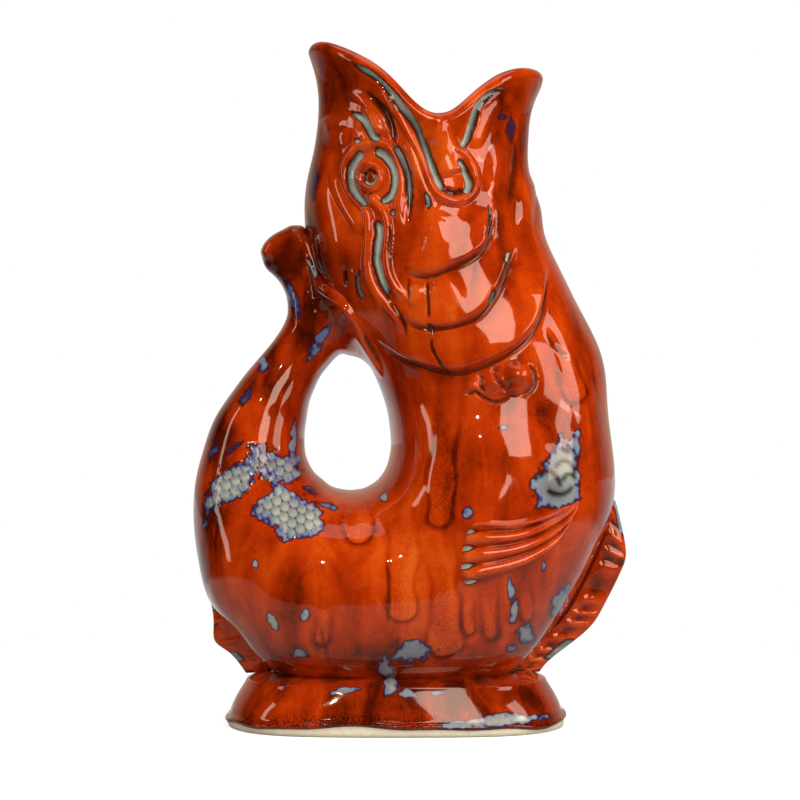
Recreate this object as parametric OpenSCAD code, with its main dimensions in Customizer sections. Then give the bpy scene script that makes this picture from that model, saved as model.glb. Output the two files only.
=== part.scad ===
// A gurgling jug in the form of a fish that stands on its belly.
// The fish looks up with an open mouth, and its hollow tail curls back to the neck as the handle.
// X points to the pouring side, Y to the fish's left, and Z up. The jug is symmetric about the plane y = 0.

/* [Jug] */
// Height from the table to the tip of the upper jaw
jug_height = 240; // [180:1:300]
// Width from the tail to the edge of the front fin
jug_width = 152; // [115:1:190]
// Depth of the belly from side to side
belly_depth = 102; // [80:1:124]
// Depth of the head from side to side where it joins the neck
head_depth = 80; // [62:1:96]
// Thickness of the cast wall
wall = 4.5; // [3:0.25:6]

/* [Mouth] */
// Thickness of the rolled rim
lip_thickness = 6; // [4.5:0.25:8]
// How far the rim rolls out sideways at the corners of the mouth
mouth_flare = 3; // [0:0.25:6]

/* [Foot] */
// Width of the foot where it stands
foot_width = 120; // [96:1:140]
// Depth of the foot where it stands
foot_depth = 84; // [70:1:100]
// Height of the foot up to the waist of the jug
foot_height = 19.5; // [16:0.5:26]
// Width of the ring that the foot stands on
foot_ring = 9; // [6:0.5:14]
// Height of the hollow under the floor
foot_recess = 2.5; // [1:0.25:4]

/* [Tail] */
// Depth of the tail from side to side where it meets the tail fin
tail_depth = 28; // [22:1:36]
// Depth of the tail fin from side to side where it is widest
tail_fin_depth = 60; // [48:1:70]

/* [Eyes] */
// Width of the ring round the eye, along the head
eye_width = 18.8; // [15:0.2:22]
// Height of the ring round the eye
eye_height = 21.6; // [17:0.2:25]
// Thickness of that ring
eye_ring_thickness = 3; // [2:0.2:4]
// Width across the middle of the inner ring
inner_ring_width = 9; // [7.5:0.2:10.5]
// Thickness of the inner ring
inner_ring_thickness = 2.4; // [1.6:0.2:3.2]
// Diameter of the pupil
pupil_diameter = 6; // [4:0.2:7]

/* [Folds] */
// Thickness of the fold over the eye
brow_thickness = 4.4; // [3:0.2:6]
// Thickness of the fold that runs down from the eye
cheek_thickness = 3.4; // [2.4:0.2:5]
// Thickness of the fold round the corner of the mouth
corner_thickness = 3.2; // [2.4:0.2:5]
// Thickness of the gill cover at its free edge
gill_cover_thickness = 5; // [3.5:0.25:7]
// Thickness of the inner gill fold at its free edge
gill_fold_thickness = 4.5; // [3:0.25:6.5]

/* [Fins] */
// Thickness of the front and back fins where they leave the body
median_fin_thickness = 6; // [4:0.25:8]
// Thickness of the front and back fins at the free edge
median_edge_thickness = 3; // [2:0.25:4.5]
// Thickness of a ray of the side fin at its tip
side_ray_thickness = 4.6; // [3:0.2:6]
// How far the tip of the side fin stands off the belly
side_fin_lift = 2; // [0:0.25:4]
// Thickness of the small fin's rays
small_ray_thickness = 4.4; // [3:0.2:6]

/* [Hidden] */

// The side of the fish that a paired piece sits on, as the sign of its y
left = 1;
right = -1;

// The room that is left between a pressed-on piece and the wall that carries it
seat_gap = 0.05;
// How far cuts run past what they cut
overrun = 40;

// Glaze colours
glaze = [0.78, 0.23, 0.05];
dark_glaze = [0.55, 0.14, 0.03];
bright_glaze = [0.90, 0.30, 0.08];
grey_glaze = [0.62, 0.62, 0.58];

// Sides of every ring of the hollow body
sides = 40;
// How much fuller than an ellipse the ovals of the body, the mouth and the foot are
body_fullness = 0.1;
mouth_fullness = -0.26;
foot_fullness = 0.42;

// The body is a bent tube from the neck down the chest, through the belly and up the tail.
// Each row is one slice of it: the point nearest the finger hole as shares of the jug's width
// and height, the point on the outside in the same way, and the depth as a share of the belly's.
body_shares = [
    [-0.123, 0.557, 0.435, 0.557, 0.78],
    [-0.088, 0.521, 0.451, 0.521, 0.80],
    [-0.065, 0.487, 0.456, 0.487, 0.83],
    [-0.051, 0.454, 0.459, 0.454, 0.87],
    [-0.045, 0.422, 0.465, 0.422, 0.91],
    [-0.045, 0.403, 0.474, 0.349, 0.95],
    [-0.051, 0.385, 0.456, 0.293, 0.98],
    [-0.060, 0.372, 0.423, 0.243, 1.00],
    [-0.074, 0.360, 0.372, 0.182, 1.00],
    [-0.091, 0.352, 0.305, 0.122, 1.00],
    [-0.107, 0.347, 0.220, 0.070, 0.99],
    [-0.123, 0.345, 0.088, 0.051, 0.98],
    [-0.137, 0.344, -0.047, 0.047, 0.97],
    [-0.153, 0.345, -0.181, 0.052, 0.95],
    [-0.170, 0.347, -0.277, 0.066, 0.92],
    [-0.186, 0.351, -0.344, 0.093, 0.87],
    [-0.202, 0.359, -0.402, 0.135, 0.80],
    [-0.219, 0.368, -0.458, 0.176, 0.73],
    [-0.233, 0.381, -0.488, 0.234, 0.64],
    [-0.242, 0.396, -0.500, 0.293, 0.56],
    [-0.245, 0.413, -0.498, 0.351, 0.49],
    [-0.244, 0.432, -0.479, 0.403, 0.44],
    [-0.240, 0.451, -0.454, 0.447, 0.40],
    [-0.234, 0.472, -0.419, 0.482, 0.37],
    [-0.223, 0.491, -0.377, 0.518, 0.34],
    [-0.207, 0.512, -0.338, 0.547, 0.31],
    [-0.186, 0.529, -0.304, 0.575, 0.29],
    [-0.158, 0.544, -0.285, 0.600, 0.28]
];
// Rows where one cast section ends and the next begins
neck_row = 0;
chest_row = 4;
middle_row = 13;
tail_row = 20;
last_row = len(body_shares) - 1;
// The last row but this many where the hollow of the tail ends
tail_plug_rows = 1;
// Rows over which the depth changes from the head's to the belly's, and from the belly's to the tail's
blend_rows = 4;

// The head is a stack of level ovals. Each row is its height as a share of the jug's height, the back
// and front of the oval as shares of the jug's width, and its depth as a share of the head's.
head_shares = [
    [1.000, -0.237, 0.314, 0.91],
    [0.976, -0.226, 0.309, 0.89],
    [0.954, -0.219, 0.305, 0.86],
    [0.932, -0.214, 0.298, 0.84],
    [0.910, -0.212, 0.286, 0.82],
    [0.881, -0.214, 0.277, 0.82],
    [0.851, -0.221, 0.274, 0.84],
    [0.822, -0.230, 0.274, 0.85],
    [0.793, -0.240, 0.284, 0.88],
    [0.763, -0.245, 0.301, 0.90],
    [0.734, -0.244, 0.307, 0.93],
    [0.704, -0.240, 0.321, 0.95],
    [0.675, -0.230, 0.342, 0.97],
    [0.646, -0.215, 0.365, 0.99],
    [0.616, -0.193, 0.388, 1.00],
    [0.587, -0.163, 0.412, 1.00],
    [0.557, -0.123, 0.435, 1.00]
];
// Height of the mouth's rim every ten degrees from the pouring lip round to the upper jaw
rim_shares = [
    0.947, 0.947, 0.947, 0.946, 0.941, 0.930, 0.908, 0.883, 0.872, 0.876, 0.894,
    0.919, 0.943, 0.960, 0.972, 0.981, 0.986, 0.987, 0.985
];
rim_step = 10;
// Places of the head's rings from the rim down to the neck
head_ring_shares = [0, 0.03, 0.07, 0.13, 0.21, 0.30, 0.39, 0.48, 0.57, 0.66, 0.75, 0.83, 0.92, 1];
// The part of the head's height over which the rim rolls out
flare_share = 0.16;

// The foot's outer profile: its height as a share of the foot's, and how far it is drawn in
// as a share of the way from the foot's edge to the waist
foot_shares = [
    [1.00, 1.00], [0.95, 0.78], [0.88, 0.60], [0.80, 0.48], [0.62, 0.31],
    [0.44, 0.17], [0.26, 0.07], [0.10, 0.00], [0.04, 0.01], [0.00, 0.06]
];
// The middle of the foot, as a share of the jug's width
foot_middle_share = -0.032;
// The foot's waist, a little wider than the belly's, as shares of the jug's width and the belly's depth
waist_width_share = 0.61;
waist_depth_share = 0.67;

// The tail fin's edges, as shares of the jug's width and height
fin_left_shares = [
    [-0.285, 0.600], [-0.284, 0.619], [-0.295, 0.641], [-0.316, 0.659], [-0.335, 0.671], [-0.342, 0.684]
];
fin_right_shares = [
    [-0.158, 0.544], [-0.133, 0.541], [-0.107, 0.534], [-0.081, 0.516], [-0.051, 0.494], [-0.014, 0.485]
];
fin_top_shares = [
    [-0.342, 0.684], [-0.330, 0.703], [-0.307, 0.716], [-0.277, 0.726], [-0.247, 0.732], [-0.226, 0.703],
    [-0.209, 0.671], [-0.195, 0.651], [-0.151, 0.635], [-0.114, 0.613], [-0.088, 0.587], [-0.072, 0.557],
    [-0.042, 0.522], [-0.014, 0.485]
];
// Depth of the tail fin along its top edge, as shares of its greatest depth
fin_depth_shares = [0.20, 0.28, 0.34, 0.38, 0.42, 0.48, 0.58, 0.68, 0.88, 1, 0.96, 0.90, 0.86, 0.88];
fin_columns = 14;
fin_rows = 7;
// Half the depth of the tail fin's thinnest edge
fin_edge = 1.6;
// The part of the tail fin over which its edge is rounded, and the depth that is left at the edge
fin_round_share = 0.14;
fin_blunt_share = 0.35;

// Folds and fins that are pressed on, as paths in shares of the jug's width and height
eye_shares = [-0.086, 0.812];
brow_shares = [
    [-0.193, 0.841], [-0.186, 0.865], [-0.163, 0.881], [-0.126, 0.888], [-0.084, 0.887], [-0.042, 0.876],
    [-0.009, 0.854]
];
cheek_shares = [
    [-0.091, 0.751], [-0.095, 0.721], [-0.093, 0.688], [-0.088, 0.656], [-0.072, 0.629], [-0.047, 0.606]
];
corner_shares = [
    [0.033, 0.859], [0.047, 0.824], [0.060, 0.797], [0.079, 0.775], [0.109, 0.766], [0.137, 0.775],
    [0.151, 0.800], [0.140, 0.828], [0.107, 0.846]
];
gill_top_shares = [
    [0.184, 0.751], [0.181, 0.718], [0.140, 0.690], [0.084, 0.678], [0.023, 0.675], [-0.028, 0.682]
];
gill_fold_shares = [
    [0.228, 0.696], [0.209, 0.657], [0.181, 0.624], [0.126, 0.601], [0.056, 0.593], [-0.012, 0.601]
];
gill_cover_shares = [
    [0.309, 0.679], [0.286, 0.616], [0.251, 0.568], [0.181, 0.540], [0.084, 0.525], [-0.009, 0.546]
];
side_fin_top_shares = [[0.384, 0.344], [0.344, 0.331], [0.300, 0.318], [0.230, 0.306], [0.149, 0.299]];
side_fin_low_shares = [[0.384, 0.322], [0.350, 0.285], [0.300, 0.252], [0.215, 0.215], [0.121, 0.199]];
small_fin_top_shares = [[0.158, 0.522], [0.191, 0.518], [0.223, 0.514], [0.256, 0.516], [0.284, 0.524]];
small_fin_low_shares = [[0.140, 0.484], [0.177, 0.470], [0.216, 0.465], [0.256, 0.470], [0.288, 0.486]];
front_in_shares = [
    [0.462, 0.340], [0.442, 0.290], [0.410, 0.243], [0.360, 0.182], [0.320, 0.149], [0.262, 0.106],
    [0.250, 0.090]
];
front_out_shares = [
    [0.477, 0.328], [0.500, 0.263], [0.491, 0.226], [0.451, 0.175], [0.409, 0.137], [0.330, 0.099],
    [0.309, 0.084]
];
back_in_shares = [[-0.445, 0.186], [-0.410, 0.157], [-0.376, 0.134], [-0.344, 0.111], [-0.316, 0.090]];
back_out_shares = [[-0.464, 0.185], [-0.456, 0.150], [-0.453, 0.122], [-0.414, 0.107], [-0.388, 0.086]];
// How much thinner the furrows of the front and back fins are than their ribs
furrow_share = 0.72;

// Curves

function pick(list, i) = list[min(max(i, 0), len(list) - 1)];

// A smooth curve through the rows of a list, at a place that counts in rows
function along(list, t) =
    let (i = min(max(floor(t), 0), len(list) - 2), f = t - i)
    let (a = pick(list, i - 1), b = list[i], c = list[i + 1], d = pick(list, i + 2))
    b + (c - a) * f / 2 + (2 * a - 5 * b + 4 * c - d) * f * f / 2
        + (3 * b - a - 3 * c + d) * f * f * f / 2;

// The same curve at a share of its whole run
function run(list, share) = along(list, share * (len(list) - 1));

function mix(a, b, share) = a + (b - a) * share;

// A point in the jug's middle plane from shares of its width and height
function place(shares) = [shares.x * jug_width, 0, shares.y * jug_height];

// How deep an oval of unit half axes is at a place across it, fuller than an ellipse by a share
function oval_depth(across, fullness) =
    sqrt(max(1 - across * across, 0)) * (1 + fullness * across * across);

// The point of such an oval at an angle
function oval(angle, fullness) = [cos(angle), sign(sin(angle)) * oval_depth(cos(angle), fullness)];

// Body

function body_near(t) = let (r = along(body_shares, t)) place([r[0], r[1]]);
function body_far(t) = let (r = along(body_shares, t)) place([r[2], r[3]]);

// Half the depth of the body, which starts at the head's depth and ends at the tail's
function body_half(t) =
    let (shared = along(body_shares, t)[4] * belly_depth / 2)
    let (from_neck = min(t / blend_rows, 1), from_tail = min((last_row - t) / blend_rows, 1))
    from_neck < 1 ? mix(head_depth / 2, shared, from_neck) :
    from_tail < 1 ? mix(tail_depth / 2, shared, from_tail) : shared;

// One ring of the body, drawn in by inset
function body_ring(t, inset) =
    let (near = body_near(t), far = body_far(t), across = (far - near) / norm(far - near))
    let (middle = (near + far) / 2, reach = norm(far - near) / 2 - inset, half = body_half(t) - inset)
    [for (i = [0 : sides - 1]) let (p = oval(360 * i / sides, body_fullness))
        middle + across * reach * p.x + [0, half * p.y, 0]];

function body_rings(first, last, inset) = [for (t = [first : last]) body_ring(t, inset)];

// Where a point of the middle plane lies between the near and far sides of one slice
function slice_side(t, point) =
    let (a = body_near(t), b = body_far(t))
    (b.x - a.x) * (point.z - a.z) - (b.z - a.z) * (point.x - a.x);

// The place along the body whose slice passes through the point, by halving
function slice_at(point, low, high, tries) =
    let (t = (low + high) / 2)
    tries == 0 ? t :
    slice_side(t, point) < 0 ? slice_at(point, t, high, tries - 1) : slice_at(point, low, t, tries - 1);

// Half the depth of the body's skin at a point of the middle plane, in the chest and belly
halvings = 16;
function body_skin(point) =
    let (t = slice_at(point, neck_row, last_row / 2, halvings))
    let (a = body_near(t), b = body_far(t), across = 2 * ((point - a) * (b - a)) / ((b - a) * (b - a)) - 1)
    body_half(t) * oval_depth(across, body_fullness);

// Head

neck_z = body_near(neck_row).z;
function head_back(z) = lookup(z, [for (r = head_shares) [r[0] * jug_height, r[1] * jug_width]]);
function head_front(z) = lookup(z, [for (r = head_shares) [r[0] * jug_height, r[2] * jug_width]]);
function head_half(z) = lookup(z, [for (r = head_shares) [r[0] * jug_height, r[3] * head_depth / 2]]);
function head_fullness(z) = lookup(z, [[neck_z, body_fullness], [jug_height, mouth_fullness]]);

function rim_z(angle) = along(rim_shares, min(angle, 360 - angle) / rim_step) * jug_height;

// How far the rim rolls out at a share of the way from the rim to the neck
function flare(share) = mouth_flare * pow(max(1 - share / flare_share, 0), 2);

function head_ring(share, inset) = [
    for (i = [0 : sides - 1])
        let (angle = 360 * i / sides, z = mix(rim_z(angle), neck_z, share), p = oval(angle, head_fullness(z)))
        let (reach = (head_front(z) - head_back(z)) / 2 - inset, half = head_half(z) + flare(share) - inset)
        [(head_front(z) + head_back(z)) / 2 + reach * p.x, half * p.y, z]
];

function head_rings(inset) = [for (share = head_ring_shares) head_ring(share, inset)];

// Half the depth of the head's skin at a point of the middle plane
function head_skin(point) =
    let (reach = (head_front(point.z) - head_back(point.z)) / 2)
    let (across = (point.x - (head_front(point.z) + head_back(point.z)) / 2) / reach)
    head_half(point.z) * oval_depth(across, head_fullness(point.z));

// A point on the skin of the head or the body, on one side of the fish, raised by lift
function on_skin(point, side, lift) =
    let (half = point.z > neck_z ? head_skin(point) : body_skin(point))
    [point.x, side * (half + lift), point.z];

// Meshes

function joined(lists) = [for (list = lists) each list];

// The two triangles between four neighbours of a grid, which flip turns to its other diagonal
function cell_faces(a, b, c, d, flip) = flip ? [[a, b, d], [b, c, d]] : [[a, b, c], [a, c, d]];

function grid_faces(bands, count, start, flip) = joined([
    for (k = bands, i = [0 : sides - 1])
        let (j = (i + 1) % sides, next = (k + 1) % count)
        cell_faces(start + k * sides + i, start + k * sides + j, start + next * sides + j,
            start + next * sides + i, flip)
]);

// A wall with a hole through it, from rings that go down its outside and back up its inside
module ring_wall(rings, flip = false) {
    polyhedron(
        points = joined(rings),
        faces = grid_faces([0 : len(rings) - 1], len(rings), 0, flip)
    );
}

// A closed solid from rings with a point at each end
module capped(first, rings, last) {
    count = len(rings);
    top = count * sides;
    polyhedron(
        points = concat(joined(rings), [first, last]),
        faces = concat(
            grid_faces([0 : count - 2], count, 0, false),
            [for (i = [0 : sides - 1]) [top, (i + 1) % sides, i]],
            [for (i = [0 : sides - 1]) [top + 1, top - sides + i, top - sides + (i + 1) % sides]]
        )
    );
}

function centre(ring) = [for (axis = [0 : 2]) [for (p = ring) p[axis]] * [for (p = ring) 1] / len(ring)];
function reversed(list) = [for (i = [len(list) - 1 : -1 : 0]) list[i]];

// The whole outside of the jug without its foot, a little larger, to cut the seats of what it carries
module jug_form() {
    body = body_rings(neck_row, last_row, -seat_gap);
    capped(centre(body[0]), body, centre(body[last_row]));
    crown = head_rings(-seat_gap);
    capped(centre(crown[0]), crown, centre(crown[len(crown) - 1]));
}

// The room below the waist, where the foot is, raised by a gap
module below_waist(gap) {
    translate([-jug_width, -belly_depth, -overrun])
        cube([jug_width + jug_width, belly_depth + belly_depth, foot_height + overrun + gap]);
}

// Cast sections

module head() {
    color(glaze)
        ring_wall(concat(head_rings(0), reversed(head_rings(wall))));
}

module chest() {
    color(glaze)
        ring_wall(concat(body_rings(neck_row, chest_row, 0), reversed(body_rings(neck_row, chest_row, wall))));
}

// A part of the body that the waist cuts off flat below
module above_waist(first, last) {
    color(glaze)
        difference() {
            ring_wall(concat(body_rings(first, last, 0), reversed(body_rings(first, last, wall))));
            below_waist(0);
        }
}

module belly() {
    above_waist(chest_row, middle_row);
}

module tail_root() {
    above_waist(middle_row, tail_row);
}

module tail_handle() {
    outside = body_rings(tail_row, last_row, 0);
    inside = body_rings(tail_row, last_row - tail_plug_rows, wall);
    color(glaze)
        capped(centre(inside[len(inside) - 1]), concat(reversed(inside), outside), centre(outside[len(outside) - 1]));
}

function foot_ring_points(z, half_width, half_depth, fullness) = [
    for (i = [0 : sides - 1]) let (p = oval(360 * i / sides, fullness))
        [foot_middle_share * jug_width + half_width * p.x, half_depth * p.y, z]
];

// One ring of the foot, drawn in by a share of the way to the waist and then by inset. It is
// fullest where it stands, and as round as the body at the waist.
function foot_profile(height_share, in_share, inset) =
    foot_ring_points(
        height_share * foot_height,
        mix(foot_width, waist_width_share * jug_width, in_share) / 2 - inset,
        mix(foot_depth, waist_depth_share * belly_depth, in_share) / 2 - inset,
        mix(foot_fullness, body_fullness, in_share)
    );

// The foot's inner profile, in the same shares, drawn in by the wall
foot_inside_shares = [[0.35, 0.45], [0.60, 0.50], [0.85, 0.65], [1.00, 1.00]];

module foot() {
    outside = [for (r = foot_shares) foot_profile(r[0], r[1], 0)];
    inside = [for (r = foot_inside_shares) foot_profile(r[0], r[1], wall)];
    under = [
        foot_profile(0, foot_shares[len(foot_shares) - 1][1], foot_ring),
        [for (p = foot_profile(0, foot_shares[len(foot_shares) - 1][1], foot_ring + foot_recess))
            [p.x, p.y, foot_recess]]
    ];
    color(glaze)
        capped(centre(inside[0]), concat(inside, outside, under), centre(under[1]));
}

// The rolled rim follows the head's rim as a bead that starts at its outer edge and ends at its inner one
bead_angles = [-15, 20, 55, 90, 125, 160, 195];

module mouth_lip() {
    outer = head_ring(0, 0);
    inner = head_ring(0, wall);
    bead = [
        for (angle = bead_angles) [
            for (i = [0 : sides - 1])
                let (before = outer[(i + sides - 1) % sides], after = outer[(i + 1) % sides])
                let (run_way = (after - before) / norm(after - before))
                let (out_way = (outer[i] - inner[i]) / norm(outer[i] - inner[i]))
                let (up_way = cross(out_way, run_way) / norm(cross(out_way, run_way)))
                (outer[i] + inner[i]) / 2 + lip_thickness / 2 * (sin(angle) * up_way - cos(angle) * out_way)
        ]
    ];
    color(bright_glaze)
        ring_wall(concat([inner], bead, [outer]), flip = true);
}

// Tail fin

function fin_base(u) = mix(body_far(last_row), body_near(last_row), u);
function fin_left(v) = place(run(fin_left_shares, v));
function fin_right(v) = place(run(fin_right_shares, v));
function fin_top(u) = place(run(fin_top_shares, u));

// A point of the fin in the middle plane, blended from its four edges
function fin_point(u, v) =
    mix(fin_base(u), fin_top(u), v) + mix(fin_left(v), fin_right(v), u)
    - mix(mix(fin_base(0), fin_top(0), v), mix(fin_base(1), fin_top(1), v), u);

// How much of its depth the fin keeps at a share of its run in from an edge
function edge_round(share) =
    mix(fin_blunt_share, 1, sqrt(1 - pow(1 - min(max(share, 0) / fin_round_share, 1), 2)));

function fin_half(u, v) =
    let (base = tail_depth / 2 * oval_depth(2 * u - 1, body_fullness))
    let (top = tail_fin_depth / 2 * run(fin_depth_shares, u) * edge_round(u) * edge_round(1 - v))
    max(mix(base, top, pow(v, 1.5)), fin_edge);

// Even steps drawn together towards the edges, where the fin is rounded
function eased(share) = (1 - cos(180 * share)) / 2;

module tail_fin() {
    color(dark_glaze)
        difference() {
            for (i = [0 : fin_columns - 1], j = [0 : fin_rows - 1])
                plate_cell([
                    for (a = [0, 1], b = [0, 1])
                        let (u = eased((i + a) / fin_columns), v = sin(90 * (j + b) / fin_rows))
                        [fin_point(u, v), fin_half(u, v)]
                ]);
            jug_form();
        }
}

// The block between four corners of a plate, each a point of the middle plane with half its thickness
module plate_cell(corners) {
    points = [for (corner = corners, side = [left, right]) corner[0] + [0, side * corner[1], 0]];
    hull()
        polyhedron(
            points = points,
            faces = [[0, 1, 3, 2], [4, 6, 7, 5], [0, 4, 5, 1], [2, 3, 7, 6], [0, 2, 6, 4], [1, 5, 7, 3]]
        );
}

// Median fins, with ribs and furrows that run out from the body
module median_fin(in_shares, out_shares, cells) {
    color(dark_glaze)
        difference() {
            for (i = [0 : cells - 1])
                plate_cell([
                    for (a = [0, 1])
                        let (share = (i + a) / cells, rib = (i + a) % 2 == 0 ? 1 : furrow_share)
                        each [
                            [place(run(in_shares, share)), median_fin_thickness / 2 * rib],
                            [place(run(out_shares, share)), median_edge_thickness / 2 * rib]
                        ]
                ]);
            jug_form();
            below_waist(seat_gap);
        }
}

front_fin_cells = 18;
back_fin_cells = 12;

module front_fin() {
    median_fin(front_in_shares, front_out_shares, front_fin_cells);
}

module back_fin() {
    median_fin(back_in_shares, back_out_shares, back_fin_cells);
}

// Pressed-on folds

ball_sides = 8;

module ball(point, thickness) {
    translate(point)
        sphere(d = thickness, $fn = ball_sides);
}

// A rope of clay along points that each have their own thickness
module rope(points, thicknesses) {
    for (i = [0 : len(points) - 2])
        hull() {
            ball(points[i], thicknesses[i]);
            ball(points[i + 1], thicknesses[i + 1]);
        }
}

// The steps of a pressed-on fold, and how thin its ends are
fold_steps = 10;
fold_end_share = 0.5;
function fold_taper(share) = mix(fold_end_share, 1, pow(sin(180 * share), 0.5));

module fold(path_shares, thickness, side, tone) {
    color(tone)
        difference() {
            rope(
                [for (i = [0 : fold_steps]) on_skin(place(run(path_shares, i / fold_steps)), side, 0)],
                [for (i = [0 : fold_steps]) thickness * fold_taper(i / fold_steps)]
            );
            jug_form();
        }
}

// A closed ring of clay on the skin round a point of the middle plane
ring_steps = 16;
module skin_ring(middle_point, width, height, thickness, side) {
    points = [
        for (i = [0 : ring_steps])
            let (angle = 360 * i / ring_steps)
            on_skin(middle_point + [width / 2 * cos(angle), 0, height / 2 * sin(angle)], side, 0)
    ];
    rope(points, [for (i = [0 : ring_steps]) thickness]);
}

module eye_ring(side) {
    color(bright_glaze)
        difference() {
            skin_ring(place(eye_shares), eye_width, eye_height, eye_ring_thickness, side);
            jug_form();
        }
}

module eye(side) {
    height = inner_ring_width * eye_height / eye_width;
    color(grey_glaze)
        difference() {
            union() {
                skin_ring(place(eye_shares), inner_ring_width, height, inner_ring_thickness, side);
                hull() {
                    ball(on_skin(place(eye_shares), side, 0), pupil_diameter);
                    ball(on_skin(place(eye_shares), side, inner_ring_thickness / 4), pupil_diameter);
                }
            }
            jug_form();
        }
}

// A cover that is thick at its free lower edge and runs out thin on the skin above it
cover_steps = 9;
cover_overlap_share = 0.75;
cover_thin_share = 0.35;
module cover(top_shares, edge_shares, thickness, side, tone) {
    edge = [for (i = [0 : cover_steps]) on_skin(place(run(edge_shares, i / cover_steps)), side, 0)];
    top = [
        for (i = [0 : cover_steps])
            let (share = i / cover_steps)
            on_skin(place(mix(run(edge_shares, share), run(top_shares, share), cover_overlap_share)), side, 0)
    ];
    color(tone)
        difference() {
            for (i = [0 : cover_steps - 1])
                hull() {
                    ball(edge[i], thickness * fold_taper(i / cover_steps));
                    ball(edge[i + 1], thickness * fold_taper((i + 1) / cover_steps));
                    ball(top[i], thickness * cover_thin_share);
                    ball(top[i + 1], thickness * cover_thin_share);
                }
            jug_form();
        }
}

// Fins on the sides: a fan of rays with a thinner web between them
module fan_fin(top_shares, low_shares, rays, steps, root_thickness, tip_thickness, lift, side) {
    color(dark_glaze)
        difference() {
            union() {
                for (k = [0 : rays - 1])
                    rope(
                        [for (j = [0 : steps]) fan_point(top_shares, low_shares, k / (rays - 1), j / steps, lift, side)],
                        [for (j = [0 : steps]) mix(root_thickness, tip_thickness, j / steps)]
                    );
                for (k = [0 : rays - 2], j = [0 : steps - 1])
                    hull()
                        for (a = [0, 1], b = [0, 1])
                            ball(
                                fan_point(top_shares, low_shares, (k + a) / (rays - 1), (j + b) / steps, lift, side),
                                web_share * mix(root_thickness, tip_thickness, (j + b) / steps)
                            );
            }
            jug_form();
        }
}

// The web's thickness as a share of the rays'
web_share = 0.55;

function fan_point(top_shares, low_shares, across, out, lift, side) =
    on_skin(place(mix(run(top_shares, out), run(low_shares, out), across)), side, lift * out);

side_fin_rays = 5;
side_fin_steps = 4;
side_root_share = 0.65;

module side_fin(side) {
    fan_fin(side_fin_top_shares, side_fin_low_shares, side_fin_rays, side_fin_steps,
        side_ray_thickness * side_root_share, side_ray_thickness, side_fin_lift, side);
}

small_fin_rays = 5;

module small_fin(side) {
    points = [
        for (k = [0 : small_fin_rays - 1])
            [small_fin_top_shares[k], mix(small_fin_top_shares[k], small_fin_low_shares[k], 1 / 2),
                small_fin_low_shares[k]]
    ];
    color(dark_glaze)
        difference() {
            union() {
                for (ray = points)
                    rope(
                        [for (p = ray) on_skin(place(p), side, 0)],
                        [small_ray_thickness * fold_end_share, small_ray_thickness, small_ray_thickness]
                    );
            }
            jug_form();
        }
}

// Named pieces

module left_eye() { eye(left); }
module right_eye() { eye(right); }
module left_eye_ring() { eye_ring(left); }
module right_eye_ring() { eye_ring(right); }
module left_brow() { fold(brow_shares, brow_thickness, left, bright_glaze); }
module right_brow() { fold(brow_shares, brow_thickness, right, bright_glaze); }
module left_cheek_fold() { fold(cheek_shares, cheek_thickness, left, bright_glaze); }
module right_cheek_fold() { fold(cheek_shares, cheek_thickness, right, bright_glaze); }
module left_mouth_corner() { fold(corner_shares, corner_thickness, left, bright_glaze); }
module right_mouth_corner() { fold(corner_shares, corner_thickness, right, bright_glaze); }
module left_gill_fold() { cover(gill_top_shares, gill_fold_shares, gill_fold_thickness, left, glaze); }
module right_gill_fold() { cover(gill_top_shares, gill_fold_shares, gill_fold_thickness, right, glaze); }
module left_gill_cover() { cover(gill_fold_shares, gill_cover_shares, gill_cover_thickness, left, glaze); }
module right_gill_cover() { cover(gill_fold_shares, gill_cover_shares, gill_cover_thickness, right, glaze); }
module left_side_fin() { side_fin(left); }
module right_side_fin() { side_fin(right); }
module left_small_fin() { small_fin(left); }
module right_small_fin() { small_fin(right); }

foot();
belly();
tail_root();
chest();
head();
mouth_lip();
tail_handle();
tail_fin();
front_fin();
back_fin();
left_eye();
right_eye();
left_eye_ring();
right_eye_ring();
left_brow();
right_brow();
left_cheek_fold();
right_cheek_fold();
left_mouth_corner();
right_mouth_corner();
left_gill_fold();
right_gill_fold();
left_gill_cover();
right_gill_cover();
left_side_fin();
right_side_fin();
left_small_fin();
right_small_fin();
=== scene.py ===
# %% [markdown]
# # A gurgling jug in the form of a fish
# The real jug is slip-cast earthenware under a thick orange reactive glaze. A fish stands on its
# belly with its mouth open to the sky, and its hollow tail curls back to the neck as the handle.
# This script dresses the construction model with the finished surface: every ridge, furrow and
# pool of glaze that the potter's mould and the kiln leave on it.

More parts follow.
